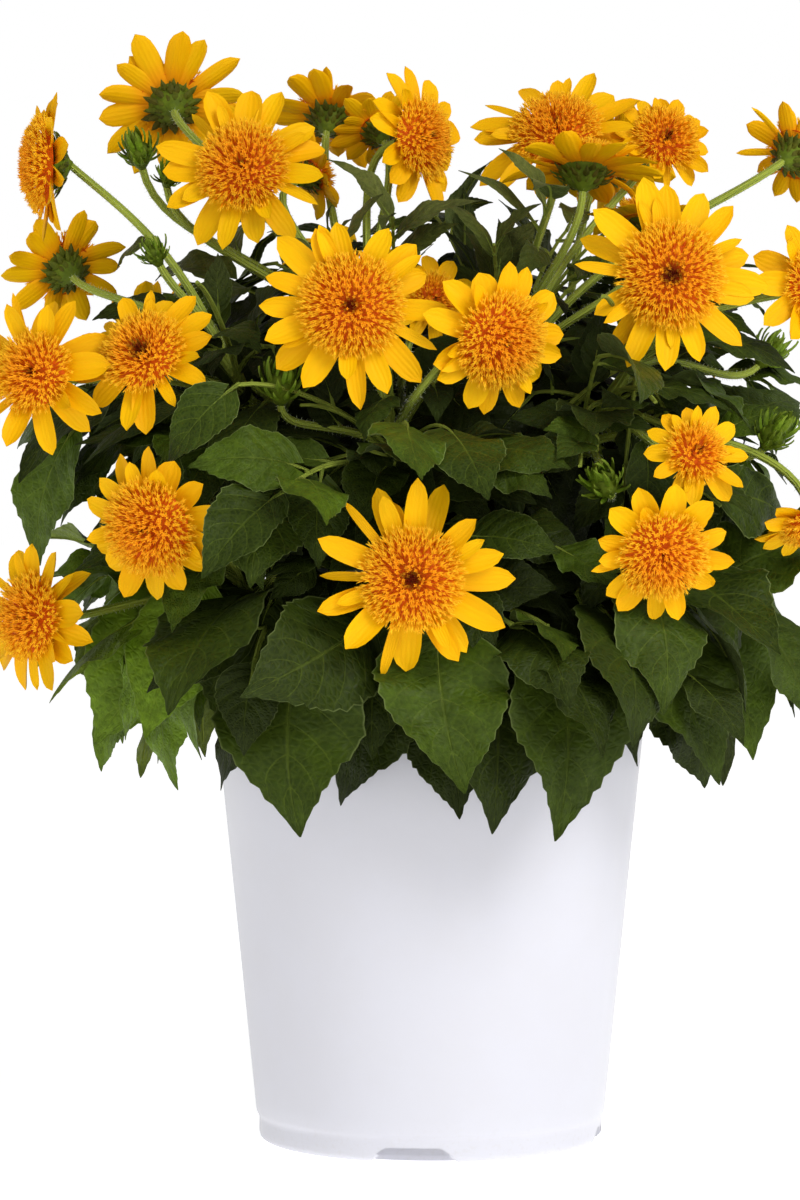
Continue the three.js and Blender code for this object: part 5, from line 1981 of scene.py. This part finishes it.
class SUNFLOWER_OT_blooms(bpy.types.Operator):
    """Builds the blooms: rays, discs of florets, cups with bracts, and the buds."""

    bl_idname = "sunflower.blooms"
    bl_label = "Blooms and buds"

    def execute(self, context):
        settings = context.scene.sunflower_bloom
        plant = grown_plant()
        width = settings.ray_width / MM
        cups = Shape()
        domes = Shape()
        bracts = Spots()
        floret = floret_template()
        bract = bract_template("bract", 1.0)
        sepal = bract_template("sepal", 0.66)
        sepals = Spots()
        for group in ("front", "top", "back"):
            rays = Shape()
            florets = Spots()
            chosen = [bloom for bloom in plant.blooms if self.group_of(bloom) == group]
            for bloom in chosen:
                add_rays(rays, bloom, width * blend(0.7, 1.0, smooth(24, 40, bloom.reach)))
                add_florets(florets, bloom, settings.floret_spacing / MM, settings.floret_length / MM)
                add_cup(cups, bracts, bloom)
                add_dome(domes, bloom)
            nodes = ["bloom_" + bloom.name for bloom in chosen]
            seat(rays.make("rays_" + group, ray_material(False), ray_material(True)), "bloom", *nodes)
            piece = florets.plant(
                "florets_" + group, floret, floret_material(), Size=settings.floret_length,
                **{"Size spread": 0.18}, Spin=math.pi, Lean=0.27, Seed=21)
            seat(piece, "bloom")
        for order, (centre, radius, axis) in enumerate(plant.buds):
            add_bud(cups, sepals, order, centre, radius, axis)
        domes.uvs = [np.zeros_like(uvs) for uvs in domes.uvs]
        seat(domes.make("domes", floret_material()), "bloom")
        seat(cups.make("cups", cup_material()), "foliage")
        piece = bracts.plant(
            "bracts", bract, cup_material(), Size=CUP_BRACT * MM, **{"Size spread": 0.1},
            Spin=0.15, Lean=0.1, Seed=31)
        seat(piece, "foliage")
        piece = sepals.plant(
            "bud_bracts", sepal, cup_material(), Size=BUD_BRACT * MM, **{"Size spread": 0.2},
            Spin=0.3, Lean=0.2, Seed=37)
        seat(piece, "foliage")
        remove(floret, bract, sepal)
        return {"FINISHED"}

    @staticmethod
    def group_of(bloom):
        """The group of a bloom by its place."""
        if bloom.centre.y > 60:
            return "back"
        return "top" if bloom.centre.z > 500 else "front"


# Stage
class SUNFLOWER_OT_stage(bpy.types.Operator):
    """Builds the pale floor, the soft lights and the camera."""

    bl_idname = "sunflower.stage"
    bl_label = "Stage"

    def execute(self, context):
        settings = context.scene.sunflower_stage
        scene = context.scene
        points = [place_at(turn, FLOOR_RADIUS, -FLOOR_DROP) for turn in range(0, 360, 6)]
        shape = Shape()
        uvs = [(point.x / 1000, point.y / 1000) for point in points]
        shape.add(points, [tuple(range(len(points)))], uvs)
        floor = shape.make("floor", floor_material())
        self.add_lamp("key", KEY_LAMP, settings.key)
        self.add_lamp("fill", FILL_LAMP, settings.fill)
        world = bpy.data.worlds.new("Soft light")
        world.use_nodes = True
        wiring = Wiring(world.node_tree)
        rise = wiring.part(wiring.node("ShaderNodeTexCoord").outputs["Generated"], 2)
        background = world.node_tree.nodes["Background"]
        background.inputs["Color"].default_value = (1.0, 1.0, 1.0, 1.0)
        glow = wiring.span(rise, 0.17, 0.34, settings.horizon, settings.sky)
        world.node_tree.links.new(glow, background.inputs["Strength"])
        scene.world = world
        data = bpy.data.cameras.new("Camera")
        data.sensor_width = 36
        data.lens = settings.lens
        camera = new_object("Camera", data)
        camera.location = settings.eye
        look = Vector(settings.target) - Vector(settings.eye)
        camera.rotation_euler = look.to_track_quat("-Z", "Y").to_euler()
        scene.camera = camera
        scene.view_settings.view_transform = "Standard"
        return {"FINISHED"}

    @staticmethod
    def add_lamp(name, row, power):
        """Adds a large soft lamp that looks at the plant."""
        data = bpy.data.lights.new(name, "AREA")
        data.shape = "DISK"
        data.size = row["size"]
        data.energy = power
        lamp = new_object(name, data)
        lamp.location = row["place"]
        look = Vector(LAMP_TARGET) - Vector(row["place"])
        lamp.rotation_euler = look.to_track_quat("-Z", "Y").to_euler()


class SUNFLOWER_PT_panel(bpy.types.Panel):
    """Lists the plant's pieces and their settings."""

    bl_idname = "SUNFLOWER_PT_panel"
    bl_label = "Sunflower"
    bl_space_type = "VIEW_3D"
    bl_region_type = "UI"
    bl_category = "Sunflower"

    def draw(self, context):
        for operator, settings in PIECES:
            box = self.layout.box()
            box.operator(operator.bl_idname)
            group = getattr(context.scene, settings)
            for name in group.bl_rna.properties.keys():
                if name not in ("rna_type", "name"):
                    box.prop(group, name)


SETTINGS = [
    ("sunflower_pot", PotSettings),
    ("sunflower_stem", StemSettings),
    ("sunflower_leaf", LeafSettings),
    ("sunflower_bloom", BloomSettings),
    ("sunflower_stage", StageSettings),
]
PIECES = [
    (SUNFLOWER_OT_stage, "sunflower_stage"),
    (SUNFLOWER_OT_pot, "sunflower_pot"),
    (SUNFLOWER_OT_soil, "sunflower_pot"),
    (SUNFLOWER_OT_stem, "sunflower_stem"),
    (SUNFLOWER_OT_twigs, "sunflower_stem"),
    (SUNFLOWER_OT_leaves, "sunflower_leaf"),
    (SUNFLOWER_OT_blooms, "sunflower_bloom"),
]


def register():
    """Registers the settings, operators and panel."""
    for name, group in SETTINGS:
        bpy.utils.register_class(group)
        setattr(bpy.types.Scene, name, PointerProperty(type=group))
    for operator, _ in PIECES:
        bpy.utils.register_class(operator)
    bpy.utils.register_class(SUNFLOWER_PT_panel)


def unregister():
    """Takes the panel, operators and settings away again."""
    bpy.utils.unregister_class(SUNFLOWER_PT_panel)
    for operator, _ in reversed(PIECES):
        bpy.utils.unregister_class(operator)
    for name, group in reversed(SETTINGS):
        delattr(bpy.types.Scene, name)
        bpy.utils.unregister_class(group)


def main():
    """Builds the stage and every piece."""
    register()
    bpy.ops.sunflower.stage()
    bpy.ops.sunflower.pot()
    bpy.ops.sunflower.soil()
    bpy.ops.sunflower.stem()
    bpy.ops.sunflower.twigs()
    bpy.ops.sunflower.leaves()
    bpy.ops.sunflower.blooms()


if __name__ == "__main__":
    main()
